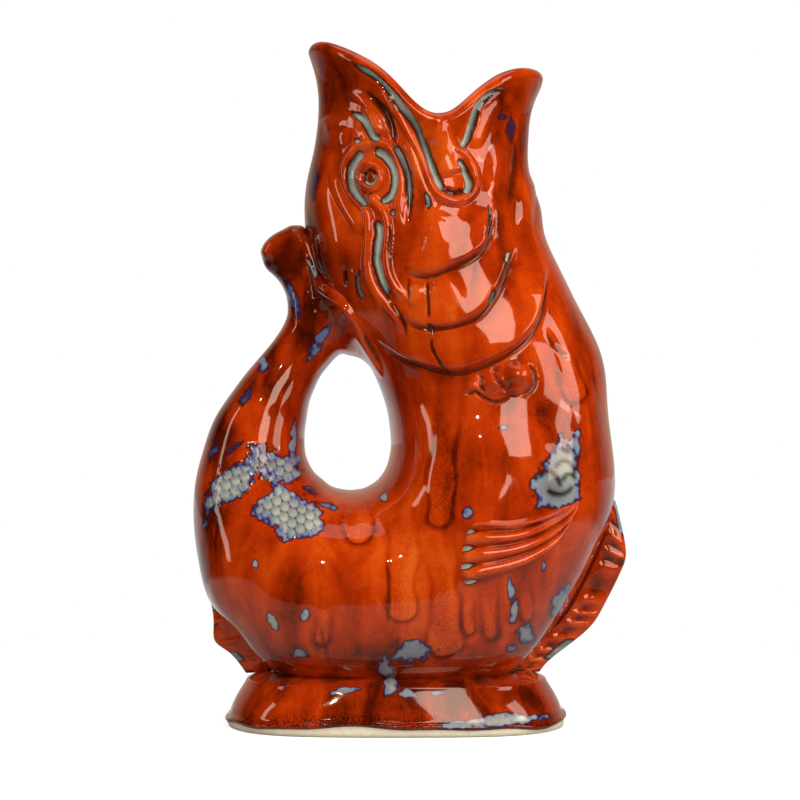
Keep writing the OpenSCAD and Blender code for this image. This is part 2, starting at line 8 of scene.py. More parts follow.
import bpy
import numpy as np
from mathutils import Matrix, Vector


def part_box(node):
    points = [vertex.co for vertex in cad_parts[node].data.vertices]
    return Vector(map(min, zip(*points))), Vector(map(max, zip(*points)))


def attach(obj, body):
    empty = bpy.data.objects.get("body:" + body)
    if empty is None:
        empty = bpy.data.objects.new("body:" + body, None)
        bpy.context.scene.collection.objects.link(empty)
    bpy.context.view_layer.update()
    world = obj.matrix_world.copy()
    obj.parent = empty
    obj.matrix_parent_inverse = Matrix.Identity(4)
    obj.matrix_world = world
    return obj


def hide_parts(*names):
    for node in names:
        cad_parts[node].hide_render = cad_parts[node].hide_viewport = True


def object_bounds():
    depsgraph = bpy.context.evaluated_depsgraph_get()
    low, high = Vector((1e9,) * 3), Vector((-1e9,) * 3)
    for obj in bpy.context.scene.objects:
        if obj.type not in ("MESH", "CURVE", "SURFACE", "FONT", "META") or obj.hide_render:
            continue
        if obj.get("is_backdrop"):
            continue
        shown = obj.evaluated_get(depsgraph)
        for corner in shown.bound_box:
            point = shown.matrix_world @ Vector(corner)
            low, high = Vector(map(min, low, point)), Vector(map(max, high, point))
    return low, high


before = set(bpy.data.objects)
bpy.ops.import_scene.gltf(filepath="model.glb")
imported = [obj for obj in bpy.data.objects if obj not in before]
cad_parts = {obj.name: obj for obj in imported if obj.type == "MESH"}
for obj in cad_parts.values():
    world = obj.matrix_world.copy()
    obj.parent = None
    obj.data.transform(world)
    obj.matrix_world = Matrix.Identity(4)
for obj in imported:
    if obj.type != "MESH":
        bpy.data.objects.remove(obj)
CAD_LOW, CAD_HIGH = (np.array(corner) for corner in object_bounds())
print("construction model in mm:", np.round((CAD_HIGH - CAD_LOW) * 1000, 1))

# %% [markdown]
# ## Sizes
# Shapes are worked out in millimetres, the unit a potter measures in, and turned to metres when
# a mesh is made. The overall sizes come from the construction model, so a changed jug carries its
# surface with it. Places on the fish's side are named in pixels of the reference photograph,
# because that is where the eye finds them: a pixel is a fixed number of millimetres in the
# jug's middle plane.

# %% Sizes
MM = 0.001
JUG_WIDTH, _, JUG_HEIGHT = (CAD_HIGH - CAD_LOW) / MM


def node_size(name):
    """The size of a construction node's box, in millimetres."""
    low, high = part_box(name)
    return (np.array(high) - np.array(low)) / MM


HEAD_TO_CHEST = 0.86
BELLY_DEPTH = node_size("belly")[1]
HEAD_DEPTH = node_size("chest")[1] * HEAD_TO_CHEST
TAIL_DEPTH = 28.0
FIN_DEPTH = node_size("tail_fin")[1]
FOOT_WIDTH, FOOT_DEPTH, FOOT_HEIGHT = node_size("foot")
WALL = 4.5
LIP = 6.0
# The pixel at the middle of the foot's base, the jug's height in pixels, and a pixel in millimetres
PIXEL_ORIGIN = np.array([410.0, 724.0])
JUG_PIXELS = 680.0
PIXEL = JUG_HEIGHT / JUG_PIXELS
print("one pixel in mm:", round(PIXEL, 4), "head depth:", round(HEAD_DEPTH, 1))

# %% [markdown]
# ## Camera
# The photograph looks level at the fish's right side. Lines that run away from the camera draw
# together a little on the foot, which puts the lens about a metre away. The frame is square.

# %% Camera
CAMERA_DISTANCE = 980.0
FRAME_PIXELS = 800
CAMERA_X, CAMERA_Z = (FRAME_PIXELS / 2 - PIXEL_ORIGIN) * (PIXEL, -PIXEL)
SENSOR = 36.0

camera_data = bpy.data.cameras.new("camera")
camera_data.sensor_width = SENSOR
camera_data.lens = SENSOR * CAMERA_DISTANCE / (FRAME_PIXELS * PIXEL)
camera_data.clip_end = 50  # metres, well past the floor's edge
camera = bpy.data.objects.new("camera", camera_data)
camera.location = np.array([CAMERA_X, -CAMERA_DISTANCE, CAMERA_Z]) * MM
camera.rotation_euler = (np.pi / 2, 0, 0)
bpy.context.scene.collection.objects.link(camera)
bpy.context.scene.camera = camera
print("lens:", round(camera_data.lens, 1), "mm")


def to_pixels(points):
    """Where the camera sees points, as pixels. A point off the middle plane spreads from the
    frame's centre by the camera's distance over its own distance. Both sides are read alike."""
    spread = CAMERA_DISTANCE / (CAMERA_DISTANCE - np.abs(points[..., 1]))
    across = CAMERA_X + (points[..., 0] - CAMERA_X) * spread
    up = CAMERA_Z + (points[..., 2] - CAMERA_Z) * spread
    return np.stack([PIXEL_ORIGIN[0] + across / PIXEL, PIXEL_ORIGIN[1] - up / PIXEL], axis=-1)


# %% [markdown]
# ## The hollow body as one long tube
# The jug is a bent tube: down from the mouth through the neck and chest, round the belly, and up
# the tail into its fin. A subdivision cage would need hundreds of hand-placed corners, so the tube
# is written as rings instead. A table gives a few rings by their two ends in the middle plane and
# their depth, a natural cubic spline runs through them, and the surface bends as smoothly as clay.
# The shares are of the jug's width, its height and the belly's or the head's depth.

# %% Tables of rings
# Each row: the near end's place across and up, the far end's, and the depth
BODY_SHARES = np.array([
    [-0.123, 0.557, 0.435, 0.557, 0.78], [-0.088, 0.521, 0.451, 0.521, 0.80],
    [-0.065, 0.487, 0.456, 0.487, 0.83], [-0.051, 0.454, 0.459, 0.454, 0.87],
    [-0.045, 0.422, 0.465, 0.422, 0.91], [-0.045, 0.403, 0.474, 0.349, 0.95],
    [-0.051, 0.385, 0.456, 0.293, 0.98], [-0.060, 0.372, 0.423, 0.243, 1.00],
    [-0.074, 0.360, 0.372, 0.182, 1.00], [-0.091, 0.352, 0.305, 0.122, 1.00],
    [-0.107, 0.347, 0.220, 0.070, 0.99], [-0.123, 0.345, 0.088, 0.051, 0.98],
    [-0.137, 0.344, -0.047, 0.047, 0.97], [-0.153, 0.345, -0.181, 0.052, 0.95],
    [-0.170, 0.347, -0.277, 0.066, 0.92], [-0.186, 0.351, -0.344, 0.093, 0.87],
    [-0.202, 0.359, -0.402, 0.135, 0.80], [-0.219, 0.368, -0.458, 0.176, 0.73],
    [-0.233, 0.381, -0.488, 0.234, 0.64], [-0.242, 0.396, -0.500, 0.293, 0.56],
    [-0.245, 0.413, -0.498, 0.351, 0.49], [-0.244, 0.432, -0.479, 0.403, 0.44],
    [-0.240, 0.451, -0.454, 0.447, 0.40], [-0.234, 0.472, -0.419, 0.482, 0.37],
    [-0.223, 0.491, -0.377, 0.518, 0.34], [-0.207, 0.512, -0.338, 0.547, 0.31],
    [-0.186, 0.529, -0.304, 0.575, 0.29], [-0.158, 0.544, -0.285, 0.600, 0.28],
])
CHEST_ROW, MIDDLE_ROW, TAIL_ROW, LAST_ROW = 4, 13, 20, 27
BLEND_ROWS = 4
# Each row: the height, the back and the front in the middle plane, and the depth
HEAD_SHARES = np.array([
    [1.000, -0.237, 0.314, 0.91], [0.976, -0.226, 0.309, 0.89], [0.954, -0.219, 0.305, 0.86],
    [0.932, -0.214, 0.298, 0.84], [0.910, -0.212, 0.286, 0.82], [0.881, -0.214, 0.277, 0.82],
    [0.851, -0.221, 0.274, 0.84], [0.822, -0.230, 0.274, 0.85], [0.793, -0.240, 0.284, 0.88],
    [0.763, -0.245, 0.301, 0.90], [0.734, -0.244, 0.307, 0.93], [0.704, -0.240, 0.321, 0.95],
    [0.675, -0.230, 0.342, 0.97], [0.646, -0.215, 0.365, 0.99], [0.616, -0.193, 0.388, 1.00],
    [0.587, -0.163, 0.412, 1.00], [0.557, -0.123, 0.435, 1.00],
])
# The height of the rim at every tenth degree from the front to the back
RIM_SHARES = np.array([
    0.947, 0.947, 0.947, 0.946, 0.941, 0.930, 0.908, 0.883, 0.872, 0.876, 0.894, 0.919, 0.943,
    0.960, 0.972, 0.981, 0.986, 0.987, 0.985,
])
RIM_STEP = 10
BODY_FULLNESS, MOUTH_FULLNESS = 0.10, -0.26
MOUTH_FLARE, FLARE_REACH = 3.0, 0.16
NECK_Z = BODY_SHARES[0, 1] * JUG_HEIGHT
COLUMNS = 480
# How far apart the rows lie in millimetres, on the way to each station
ROW_STEPS = {"lip": 0.5, "neck": 0.56, "chest": 0.62, "middle": 0.78, "tail": 0.8, "fin": 0.7, "end": 0.7}


def smooth(value):
    """Smoothstep of a value held between 0 and 1: three times its square less twice its cube."""
    value = np.clip(value, 0, 1)
    return value * value * (3 - 2 * value)


def spline(knots, values, places):
    """A natural cubic spline: second derivatives come from one linear solve so that slope and
    bend run on through every knot, and are zero at the two ends."""
    count, gaps = len(knots), np.diff(knots)
    flat = np.asarray(values, float).reshape(count, -1)
    matrix = np.zeros((count, count))
    matrix[0, 0] = matrix[-1, -1] = 1
    inner = np.arange(1, count - 1)
    matrix[inner, inner - 1] = gaps[:-1]
    matrix[inner, inner] = 2 * (gaps[:-1] + gaps[1:])
    matrix[inner, inner + 1] = gaps[1:]
    right = np.zeros_like(flat)
    right[1:-1] = 6 * np.diff(np.diff(flat, axis=0) / gaps[:, None], axis=0)
    bend = np.linalg.solve(matrix, right)
    places = np.atleast_1d(places).astype(float)
    k = np.clip(np.searchsorted(knots, places, side="right") - 1, 0, count - 2)
    gap = gaps[k][:, None]
    before, after = (places - knots[k])[:, None], (knots[k + 1] - places)[:, None]
    result = (bend[k] * after ** 3 + bend[k + 1] * before ** 3) / (6 * gap)
    result += (flat[k] / gap - bend[k] * gap / 6) * after
    result += (flat[k + 1] / gap - bend[k + 1] * gap / 6) * before
    return result.reshape((len(places),) + np.shape(values)[1:])


def oval_depth(across, fullness):
    """The depth of a unit oval at a place across it: the circle's, made fuller by a share of the
    square of that place, so that its bend has no jump."""
    return np.sqrt(np.maximum(1 - across ** 2, 0)) * (1 + fullness * across ** 2)


ANGLES = np.linspace(0, 2 * np.pi, COLUMNS, endpoint=False)
COS, SIN = np.cos(ANGLES), np.sin(ANGLES)


def body_ring(row, inset):
    """One ring of the body: an oval in the slanted plane between its near and far ends."""
    shares = BODY_SHARES[row]
    near = np.array([shares[0] * JUG_WIDTH, 0, shares[1] * JUG_HEIGHT])
    far = np.array([shares[2] * JUG_WIDTH, 0, shares[3] * JUG_HEIGHT])
    half = shares[4] * BELLY_DEPTH / 2
    from_neck, from_tail = min(row / BLEND_ROWS, 1), min((LAST_ROW - row) / BLEND_ROWS, 1)
    half = HEAD_DEPTH / 2 + (half - HEAD_DEPTH / 2) * from_neck
    half = TAIL_DEPTH / 2 + (half - TAIL_DEPTH / 2) * from_tail
    reach = np.linalg.norm(far - near) / 2
    ring = (near + far) / 2 + np.outer(COS, (far - near) / 2 * (reach - inset) / reach)
    ring[:, 1] = (half - inset) * np.sign(SIN) * oval_depth(COS, BODY_FULLNESS)
    return ring


def head_ring(share, inset, swell):
    """One ring of the head, at a share of the way from the wavy rim down to the level neck. Each
    column keeps its angle, so the ring is an oval whose height follows the rim. The wall swells
    towards the rim, where it rolls over."""
    turn = np.degrees(np.minimum(ANGLES, 2 * np.pi - ANGLES)) / RIM_STEP
    rim = spline(np.arange(len(RIM_SHARES)), RIM_SHARES, turn) * JUG_HEIGHT
    height = rim + (NECK_Z - rim) * share
    table = HEAD_SHARES[::-1]
    back, front, half = spline(table[:, 0] * JUG_HEIGHT, table[:, 1:], height).T
    ease = smooth((height - NECK_Z) / (JUG_HEIGHT - NECK_Z))
    fullness = BODY_FULLNESS + (MOUTH_FULLNESS - BODY_FULLNESS) * ease
    flare = MOUTH_FLARE * max(1 - share / FLARE_REACH, 0) ** 2
    reach = (front - back) * JUG_WIDTH / 2 - inset + swell
    depth = half * HEAD_DEPTH / 2 + flare - inset + swell
    return np.stack([
        (front + back) * JUG_WIDTH / 2 + reach * COS,
        depth * np.sign(SIN) * oval_depth(COS, fullness),
        height,
    ], axis=-1)


print("rings in the tables:", len(BODY_SHARES), "of the body and", len(HEAD_SHARES), "of the head")

# %% [markdown]
# ## The tail's fin
# Past the last ring the tube flattens into the fin. Its outline in the middle plane is a patch
# blended from four edges, and its depth to each side grows towards the neck, where the fin lies
# on the fish's back. The rings go on through the patch until they close along its upper edge, so
# tail and fin are one surface, as they are in the mould.

# %% Rings of the tail fin
FIN_LEFT = np.array([
    [-0.285, 0.600], [-0.284, 0.619], [-0.295, 0.641], [-0.316, 0.659], [-0.335, 0.671], [-0.342, 0.684],
])
FIN_RIGHT = np.array([
    [-0.158, 0.544], [-0.133, 0.541], [-0.107, 0.534], [-0.081, 0.516], [-0.051, 0.494], [-0.014, 0.485],
])
FIN_TOP = np.array([
    [-0.342, 0.684], [-0.330, 0.703], [-0.307, 0.716], [-0.277, 0.726], [-0.247, 0.732], [-0.226, 0.703],
    [-0.209, 0.671], [-0.195, 0.651], [-0.151, 0.635], [-0.114, 0.613], [-0.088, 0.587], [-0.072, 0.557],
    [-0.042, 0.522], [-0.014, 0.485],
])
FIN_DEPTH_SHARES = np.array([
    0.20, 0.28, 0.34, 0.38, 0.42, 0.48, 0.58, 0.68, 0.88, 1.00, 0.96, 0.90, 0.86, 0.88,
])
FIN_ROWS = np.array([0.10, 0.25, 0.42, 0.60, 0.76, 0.88, 0.95, 0.985, 1.0])
FIN_STEEPNESS, FIN_ROUND_FROM = 2.2, 0.80


def along(table, places):
    """A spline through the rows of a table, at shares of its whole run."""
    return spline(np.linspace(0, 1, len(table)), table, places)


def mix(a, b, share):
    """A value that share of the way from a to b."""
    return a + (b - a) * share


def fin_ring(v):
    """One ring of the fin at a share v of the way out. Its outline blends the four edges; its
    depth blends the tail's oval with the fin's own table, with sides that stand up steeply, and
    rounds off to nothing at the outer edge."""
    u = (1 - COS) / 2
    base = mix(BODY_SHARES[LAST_ROW, 2:4], BODY_SHARES[LAST_ROW, :2], u[:, None])
    left, right = along(FIN_LEFT, [v]), along(FIN_RIGHT, [v])
    top = along(FIN_TOP, u)
    corner = mix(mix(base[0], FIN_TOP[0], v), mix(FIN_RIGHT[0], FIN_TOP[-1], v), u[:, None])
    outline = mix(base, top, v) + mix(left, right, u[:, None]) - corner
    steep = np.tanh(FIN_STEEPNESS * np.abs(SIN)) / np.tanh(FIN_STEEPNESS)
    stem = TAIL_DEPTH / 2 * oval_depth(COS, BODY_FULLNESS)
    blade = FIN_DEPTH / 2 * along(FIN_DEPTH_SHARES, u) * steep
    close = np.sqrt(max(1 - max((v - FIN_ROUND_FROM) / (1 - FIN_ROUND_FROM), 0) ** 2, 0))
    depth = mix(stem, blade, smooth(v * 1.15)) * close
    return np.stack([
        outline[:, 0] * JUG_WIDTH, np.sign(SIN) * depth, outline[:, 1] * JUG_HEIGHT,
    ], axis=-1)


print("rings of the fin:", len(FIN_ROWS))

# %% [markdown]
# ## One spline through all rings
# The rings of head, body and fin are stacked and splined along their length, at knots that count
# the mean distance from ring to ring. The rim rolls over between the outside and the inside as
# half a circle. The result is one grid of points; the cast sections are cut out of it later, so
# that glaze and light run on from one to the next without a seam.

# %% The grid of the outside and of the inside
HEAD_RING_SHARES = np.array([0, 0.03, 0.07, 0.13, 0.21, 0.30, 0.39, 0.48, 0.57, 0.66, 0.75, 0.83, 0.92])
SWELL, SWELL_REACH = (LIP - WALL) / 2, 0.10
BEAD_ROWS = 14


def rim_swell(share):
    """How much thicker each side of the wall is near the rolled rim: it fades over a tenth."""
    return SWELL * (1 - smooth(share / SWELL_REACH))


outer_keys = np.array(
    [head_ring(share, 0, rim_swell(share)) for share in HEAD_RING_SHARES]
    + [body_ring(row, 0) for row in range(LAST_ROW + 1)]
    + [fin_ring(v) for v in FIN_ROWS]
)
inner_keys = np.array(
    [head_ring(share, WALL, -rim_swell(share)) for share in HEAD_RING_SHARES]
    + [body_ring(row, WALL) for row in range(LAST_ROW)]
)
steps = np.linalg.norm(np.diff(outer_keys, axis=0), axis=2).mean(1)
KNOTS = np.concatenate([[0], np.cumsum(steps)])
neck_key = len(HEAD_RING_SHARES)
STATIONS = {
    "lip": KNOTS[1], "neck": KNOTS[neck_key], "chest": KNOTS[neck_key + CHEST_ROW],
    "middle": KNOTS[neck_key + MIDDLE_ROW], "tail": KNOTS[neck_key + TAIL_ROW],
    "fin": KNOTS[neck_key + LAST_ROW], "end": KNOTS[-1],
}
runs, ROW, start, row = [], {}, 0.0, 0
for name, stop in STATIONS.items():
    count = max(int(round((stop - start) / ROW_STEPS[name])), 2)
    runs.append(np.linspace(start, stop, count, endpoint=False))
    row += count
    ROW[name] = row
    start = stop
places = np.concatenate(runs + [[start]])
outer = spline(KNOTS, outer_keys, places)
inner_places = np.clip(places, 0, KNOTS[len(inner_keys) - 1])
inner = spline(KNOTS[:len(inner_keys)], inner_keys, inner_places)

rim_middle, rim_out = (outer[0] + inner[0]) / 2, outer[0] - inner[0]
rim_out /= np.linalg.norm(rim_out, axis=1)[:, None]
rim_run = np.roll(rim_middle, -1, axis=0) - np.roll(rim_middle, 1, axis=0)
rim_up = np.cross(rim_out, rim_run)
rim_up /= np.linalg.norm(rim_up, axis=1)[:, None]
bead_turn = np.linspace(0, np.pi, BEAD_ROWS + 2)[1:-1][:, None, None]
bead_half = np.linalg.norm(outer[0] - inner[0], axis=1)[:, None] / 2
bead = rim_middle + bead_half * (rim_up * np.sin(bead_turn) - rim_out * np.cos(bead_turn))
print("rows on the outside:", len(outer), "columns:", COLUMNS, "stations:", ROW)

# %% [markdown]
# ## Relief
# The mould carries the fish's anatomy as low relief: ridges like ropes of clay, furrows in which
# glaze pools, and overlapping gill covers that end in a rounded step. Each is a curve drawn
# through a few given pixels. A vertex finds its distance to the curve in the picture plane,
# and a profile turns that distance into height. Both sides of the fish read the same curves.
# Sculpting would look alike, but could not be repeated or changed.

# %% Distance to a drawn curve
SCALE_HEIGHT, SCALE_RADIUS, SCALE_EDGE = 0.9, 0.70, 0.22


def pairs(text):
    """Pixels, written as 'across,down' with spaces between them, as an array."""
    return np.array([pair.split(",") for pair in text.split()], float)


def drawn(text, per_span=7):
    """A smooth curve through pixels: a natural spline at even knots, with so many short stretches
    between two of them."""
    points = pairs(text)
    last = len(points) - 1
    return spline(np.arange(last + 1), points, np.linspace(0, last, per_span * last + 1))


def curve_distance(pixels, curve, reach):
    """For each pixel within reach of the curve: its distance to the nearest stretch, the share of
    the curve's run there, and the side as a sign, positive on the right of its direction."""
    low, high = curve.min(0) - reach, curve.max(0) + reach
    near = np.flatnonzero(np.all((pixels > low) & (pixels < high), axis=1))
    spots = pixels[near]
    starts, runs = curve[:-1], np.diff(curve, axis=0)
    lengths = np.linalg.norm(runs, axis=1)
    before = np.concatenate([[0], np.cumsum(lengths)])[:-1]
    best = np.full(len(spots), np.inf)
    share, side = np.zeros(len(spots)), np.ones(len(spots))
    for start, run, length, gone in zip(starts, runs, lengths, before):
        offset = spots - start
        t = np.clip(offset @ run / length ** 2, 0, 1)
        gap = offset - t[:, None] * run
        distance = np.hypot(gap[:, 0], gap[:, 1])
        closer = distance < best
        best[closer] = distance[closer]
        share[closer] = ((gone + t * length) / lengths.sum())[closer]
        side[closer] = np.sign(run[0] * offset[:, 1] - run[1] * offset[:, 0])[closer]
    return near, best, share, side


def fade(share, head, tail):
    """A run's strength, which rises over its first part and falls over its last."""
    return smooth(share / head) * smooth((1 - share) / tail)


def rope_profile(distance, half_width):
    """A round swelling: one less the square of distance over half width, then squared."""
    return np.maximum(1 - (distance / half_width) ** 2, 0) ** 2


def ragged(pixels, seed, pitches=(34, 19, 11, 6.5)):
    """Uneven values about zero for ragged borders: sines in several directions and pitches."""
    rng = np.random.default_rng(seed)
    total = np.zeros(len(pixels))
    for pitch in pitches:
        for _ in range(3):
            turn = rng.uniform(0, np.pi)
            wave = np.array([np.cos(turn), np.sin(turn)]) * 2 * np.pi / pitch
            total += np.sin(pixels @ wave + rng.uniform(0, 2 * np.pi))
    return total / (1.2 * len(pitches))


def turned(gap, degrees):
    """Offsets in the picture plane, read along axes that are turned by so many degrees."""
    c, s = np.cos(np.radians(degrees)), np.sin(np.radians(degrees))
    return np.stack([gap[:, 0] * c + gap[:, 1] * s, gap[:, 1] * c - gap[:, 0] * s], axis=1)


def scale_pattern(pixels, width, turn):
    """Overlapping scales: every other row is shifted by half a scale, and each scale swells
    from its base to a round edge. The value is from 0 in the seams to 1."""
    a, b = (turned(pixels, turn) / (width, width * SCALE_HEIGHT)).T
    best = np.zeros(len(pixels))
    for lift in (0, 1):
        row = np.floor(b) - lift
        across = a - 0.5 * np.mod(row, 2)
        x = across - np.round(across)
        y = b - row - 0.5
        radius = np.hypot(x * 1.25, (y - 0.1) * 0.9)
        value = smooth((SCALE_RADIUS - radius) / SCALE_EDGE) * (0.55 + 0.45 * smooth(y + 0.5))
        best = np.maximum(best, value)
    return best


print("a rope of clay at a quarter of its half width:", round(rope_profile(0.25, 1.0), 3))

# %% [markdown]
# ### Kinds of stroke
# Each kind of stroke answers for one thing that the mould or the kiln does, and shade spots and
# covers also paint shade and light. A stroke changes the height, and it also says how the glaze lies
# there: `pool` is how deep it stands, `blue` how far the pool turns violet, `thin` how bright it is
# where it ran off, `crest` the same on top of a ridge, and `grit` how peppered it is; `thin` also
# carries the painted shade and painted light. Sizes along the picture plane are pixels, heights are
# millimetres.

# %% Kinds of stroke
CREASE_REACH = 1.3
DRIP_REACH, DRIP_EDGE = 2.1, 9.0
PATCH_REACH = 60


class Relief:
    """Height and glaze depth of a set of surface points, gathered stroke by stroke."""

    def __init__(self, points):
        self.pixels = to_pixels(points).reshape(-1, 2)
        count = len(self.pixels)
        self.raised, self.sunk, self.steps = np.zeros(count), np.zeros(count), np.zeros(count)
        self.pool, self.blue, self.thin, self.crest, self.grit = (np.zeros(count) for _ in range(5))
        self.uneven, self.slow = ragged(self.pixels, 3), ragged(self.pixels, 9, (70, 41))

    def deepen(self, label, near, values):
        """Raise one of the values to at least the given ones."""
        held = getattr(self, label)
        held[near] = np.maximum(held[near], values)

    def ridge(self, half_width, height, head, tail, points):
        """A rope of clay along the curve: the rope's profile to a power that makes it fuller."""
        near, distance, share, _ = curve_distance(self.pixels, drawn(points), half_width)
        value = rope_profile(distance, half_width) ** 0.68 * fade(share, head, tail)
        self.deepen("raised", near, value * height)
        self.deepen("crest", near, value)

    def furrow(self, half_width, depth, pool, head, tail, points):
        """A furrow along the curve, in which glaze pools. It narrows where it fades, and its width
        wanders a little."""
        reach = half_width * CREASE_REACH
        near, distance, share, _ = curve_distance(self.pixels, drawn(points), reach)
        strength = fade(share, head, tail)
        width = 0.9 * half_width * (0.45 + 0.55 * strength) * (1 + 0.12 * self.uneven[near])
        self.deepen("sunk", near, rope_profile(distance, width) * strength * depth)
        soft = rope_profile(distance, width * 1.25) ** 1.2 * strength ** 0.5
        self.deepen("pool", near, soft * (1 + 0.14 * self.slow[near]) * pool)

    def drip(self, half_width, height, points):
        """A run of glaze: bright within, with a soft dark edge that is strongest at its end."""
        reach = half_width * DRIP_REACH
        near, distance, share, _ = curve_distance(self.pixels, drawn(points), reach)
        edge = distance - half_width * (0.8 + 0.2 * share + 0.22 * self.slow[near])
        strength = smooth(share / 0.6)
        self.steps[near] += height * smooth(0.5 - edge / DRIP_EDGE) * strength
        bright = 0.9 * smooth(0.5 - edge / 6.0)
        dark = (1.0 + 1.2 * share) * rope_profile(edge - 1.5, 5.0)
        self.thin[near] += (bright - dark) * strength
        self.deepen("grit", near, 0.45 * smooth(0.5 - edge / 8.0) * strength * share)
        end = rope_profile(edge - 0.5, 2.6) * smooth((share - 0.75) / 0.25)
        self.deepen("pool", near, 0.31 * end)

    def line(self, half_width, amount, points):
        """A dark line through a pool, where a seam of the scales shows."""
        near, distance, share, _ = curve_distance(self.pixels, drawn(points), half_width)
        mark = rope_profile(distance, half_width) * fade(share, 0.15, 0.15)
        self.pool[near] *= 1 - amount * mark
        self.blue[near] *= 1 - mark

    def cover(self, height, spread, edge, head, tail, line, points):
        """A cover that ends in a rounded step at the curve and runs out over its spread. Glaze pools
        in the crease under the step, and a painted shade darkens the glaze below it."""
        near, distance, share, side = curve_distance(self.pixels, drawn(points), spread)
        inside, strength = distance * side, fade(share, head, tail)
        rise = smooth((inside + edge) / (edge * 1.8))
        self.steps[near] += rise * smooth(1 - np.maximum(inside, 0) / spread) * height * strength
        crease = rope_profile(inside + edge * 0.9, edge * 0.8) * strength
        self.deepen("sunk", near, crease * height * 0.3)
        self.deepen("pool", near, crease * line)
        # Painted shade below the step, where the cover's edge overhangs
        self.thin[near] -= 1.2 * rope_profile(inside + edge * 1.6, edge * 2.6) * strength

    def patch(self, pool, width, turn, relief, shred, soft, points):
        """A ragged patch of pooled glaze inside a closed curve, over scales of that width. A pixel
        is inside where a line to the right of it crosses the curve an odd number of times."""
        curve = drawn(points + " " + points.split()[0], 5)
        near, distance, _, _ = curve_distance(self.pixels, curve, PATCH_REACH)
        x, y = self.pixels[near].T
        inside = np.zeros(len(near), dtype=bool)
        for (x1, y1), (x2, y2) in zip(curve[:-1], curve[1:]):
            crosses = (y1 > y) != (y2 > y)
            slope = (x2 - x1) / (y2 - y1) if y2 != y1 else 0
            inside ^= crosses & (x < x1 + (y - y1) * slope)
        slow = self.slow[near]
        depth = np.where(inside, distance, -distance) + shred * (self.uneven[near] + 0.3 * slow)
        value = smooth(0.5 + depth / soft)
        scales = scale_pattern(self.pixels[near], width, turn) if width else np.ones(len(near))
        seams = 1 - 0.55 * (1 - scales) * smooth(value * 2 - 1)
        self.deepen("pool", near, value * pool * seams * (0.98 + 0.12 * slow))
        self.deepen("blue", near, smooth(value * 6) * (1 - 0.85 * smooth((depth - 3) / 7)))
        self.steps[near] += value * scales * relief

    def offset(self, x, y, half_width, half_height, turn=0):
        """Offsets from a spot, in half widths and half heights of it."""
        return turned(self.pixels - (x, y), turn) / (half_width, half_height)

    def bump(self, x, y, half_width, half_height, height, crest):
        """A round swelling about a pixel."""
        gap = self.offset(x, y, half_width, half_height)
        value = rope_profile(np.hypot(gap[:, 0], gap[:, 1]), 1.0)
        self.steps += value * height
        self.crest = np.maximum(self.crest, value * crest)

    def shade(self, x, y, half_width, half_height, amount):
        """A broad soft place painted darker, or painted lighter where the amount is below zero: painted
        shade and painted light, partly also the glaze's own thick dark and thin bright places.
        """
        gap = self.offset(x, y, half_width, half_height)
        self.thin -= amount * rope_profile(np.hypot(gap[:, 0], gap[:, 1]) + 0.12 * self.slow, 1.0)

    def blot(self, x, y, half_width, half_height, pool, turn):
        """A place where the glaze lies thick, without any change of height. It is a drop, wider
        at its lower end, and its border is ragged."""
        gap = self.offset(x, y, half_width, half_height, turn)
        gap[:, 0] /= np.clip(0.85 + 0.3 * gap[:, 1], 0.4, 1.3)
        reach = (np.abs(gap) ** 1.7).sum(1) + 0.42 * self.uneven
        self.pool = np.maximum(self.pool, smooth((1.45 - reach) / 1.3) * pool)
        self.blue = np.maximum(self.blue, smooth(2.6 - reach))

    def carve(self, spots, strokes=()):
        """Put tables on the points: spots by kind, then strokes whose rows name their kind."""
        for kind, rows in spots.items():
            for row in rows:
                getattr(self, kind)(*row)
        for kind, *sizes in strokes:
            getattr(self, kind)(*sizes)

    def results(self, shape):
        """Height, pool, blueness, thinness and grit, as grids of that shape."""
        height = self.raised - self.sunk + self.steps
        values = (height, self.pool, self.blue, self.thin + self.crest, self.grit)
        return [value.reshape(shape) for value in values]


print("kinds of stroke: ridge, furrow, drip, line, cover, patch, bump, shade and blot")

# %% [markdown]
# ### The face and the gills
# These strokes are read from the photograph one by one: the ring round the eye with its furrow,
# the two ropes that run down from it, the furrow under each lip, the fold at the mouth's corner,
# and the three gill covers that overlap like tiles. The rows of the tables are, before the pixels:
# ridge: half width, height, and the shares of its run over which it rises and falls;
# furrow: half width, depth, pool, and the same two shares;
# cover: height, spread, edge, the same two shares, and the crease's pool;
# bump, shade, blot: centre, half width, half height, then height and crest, or how dark, or pool
# and turn in degrees.

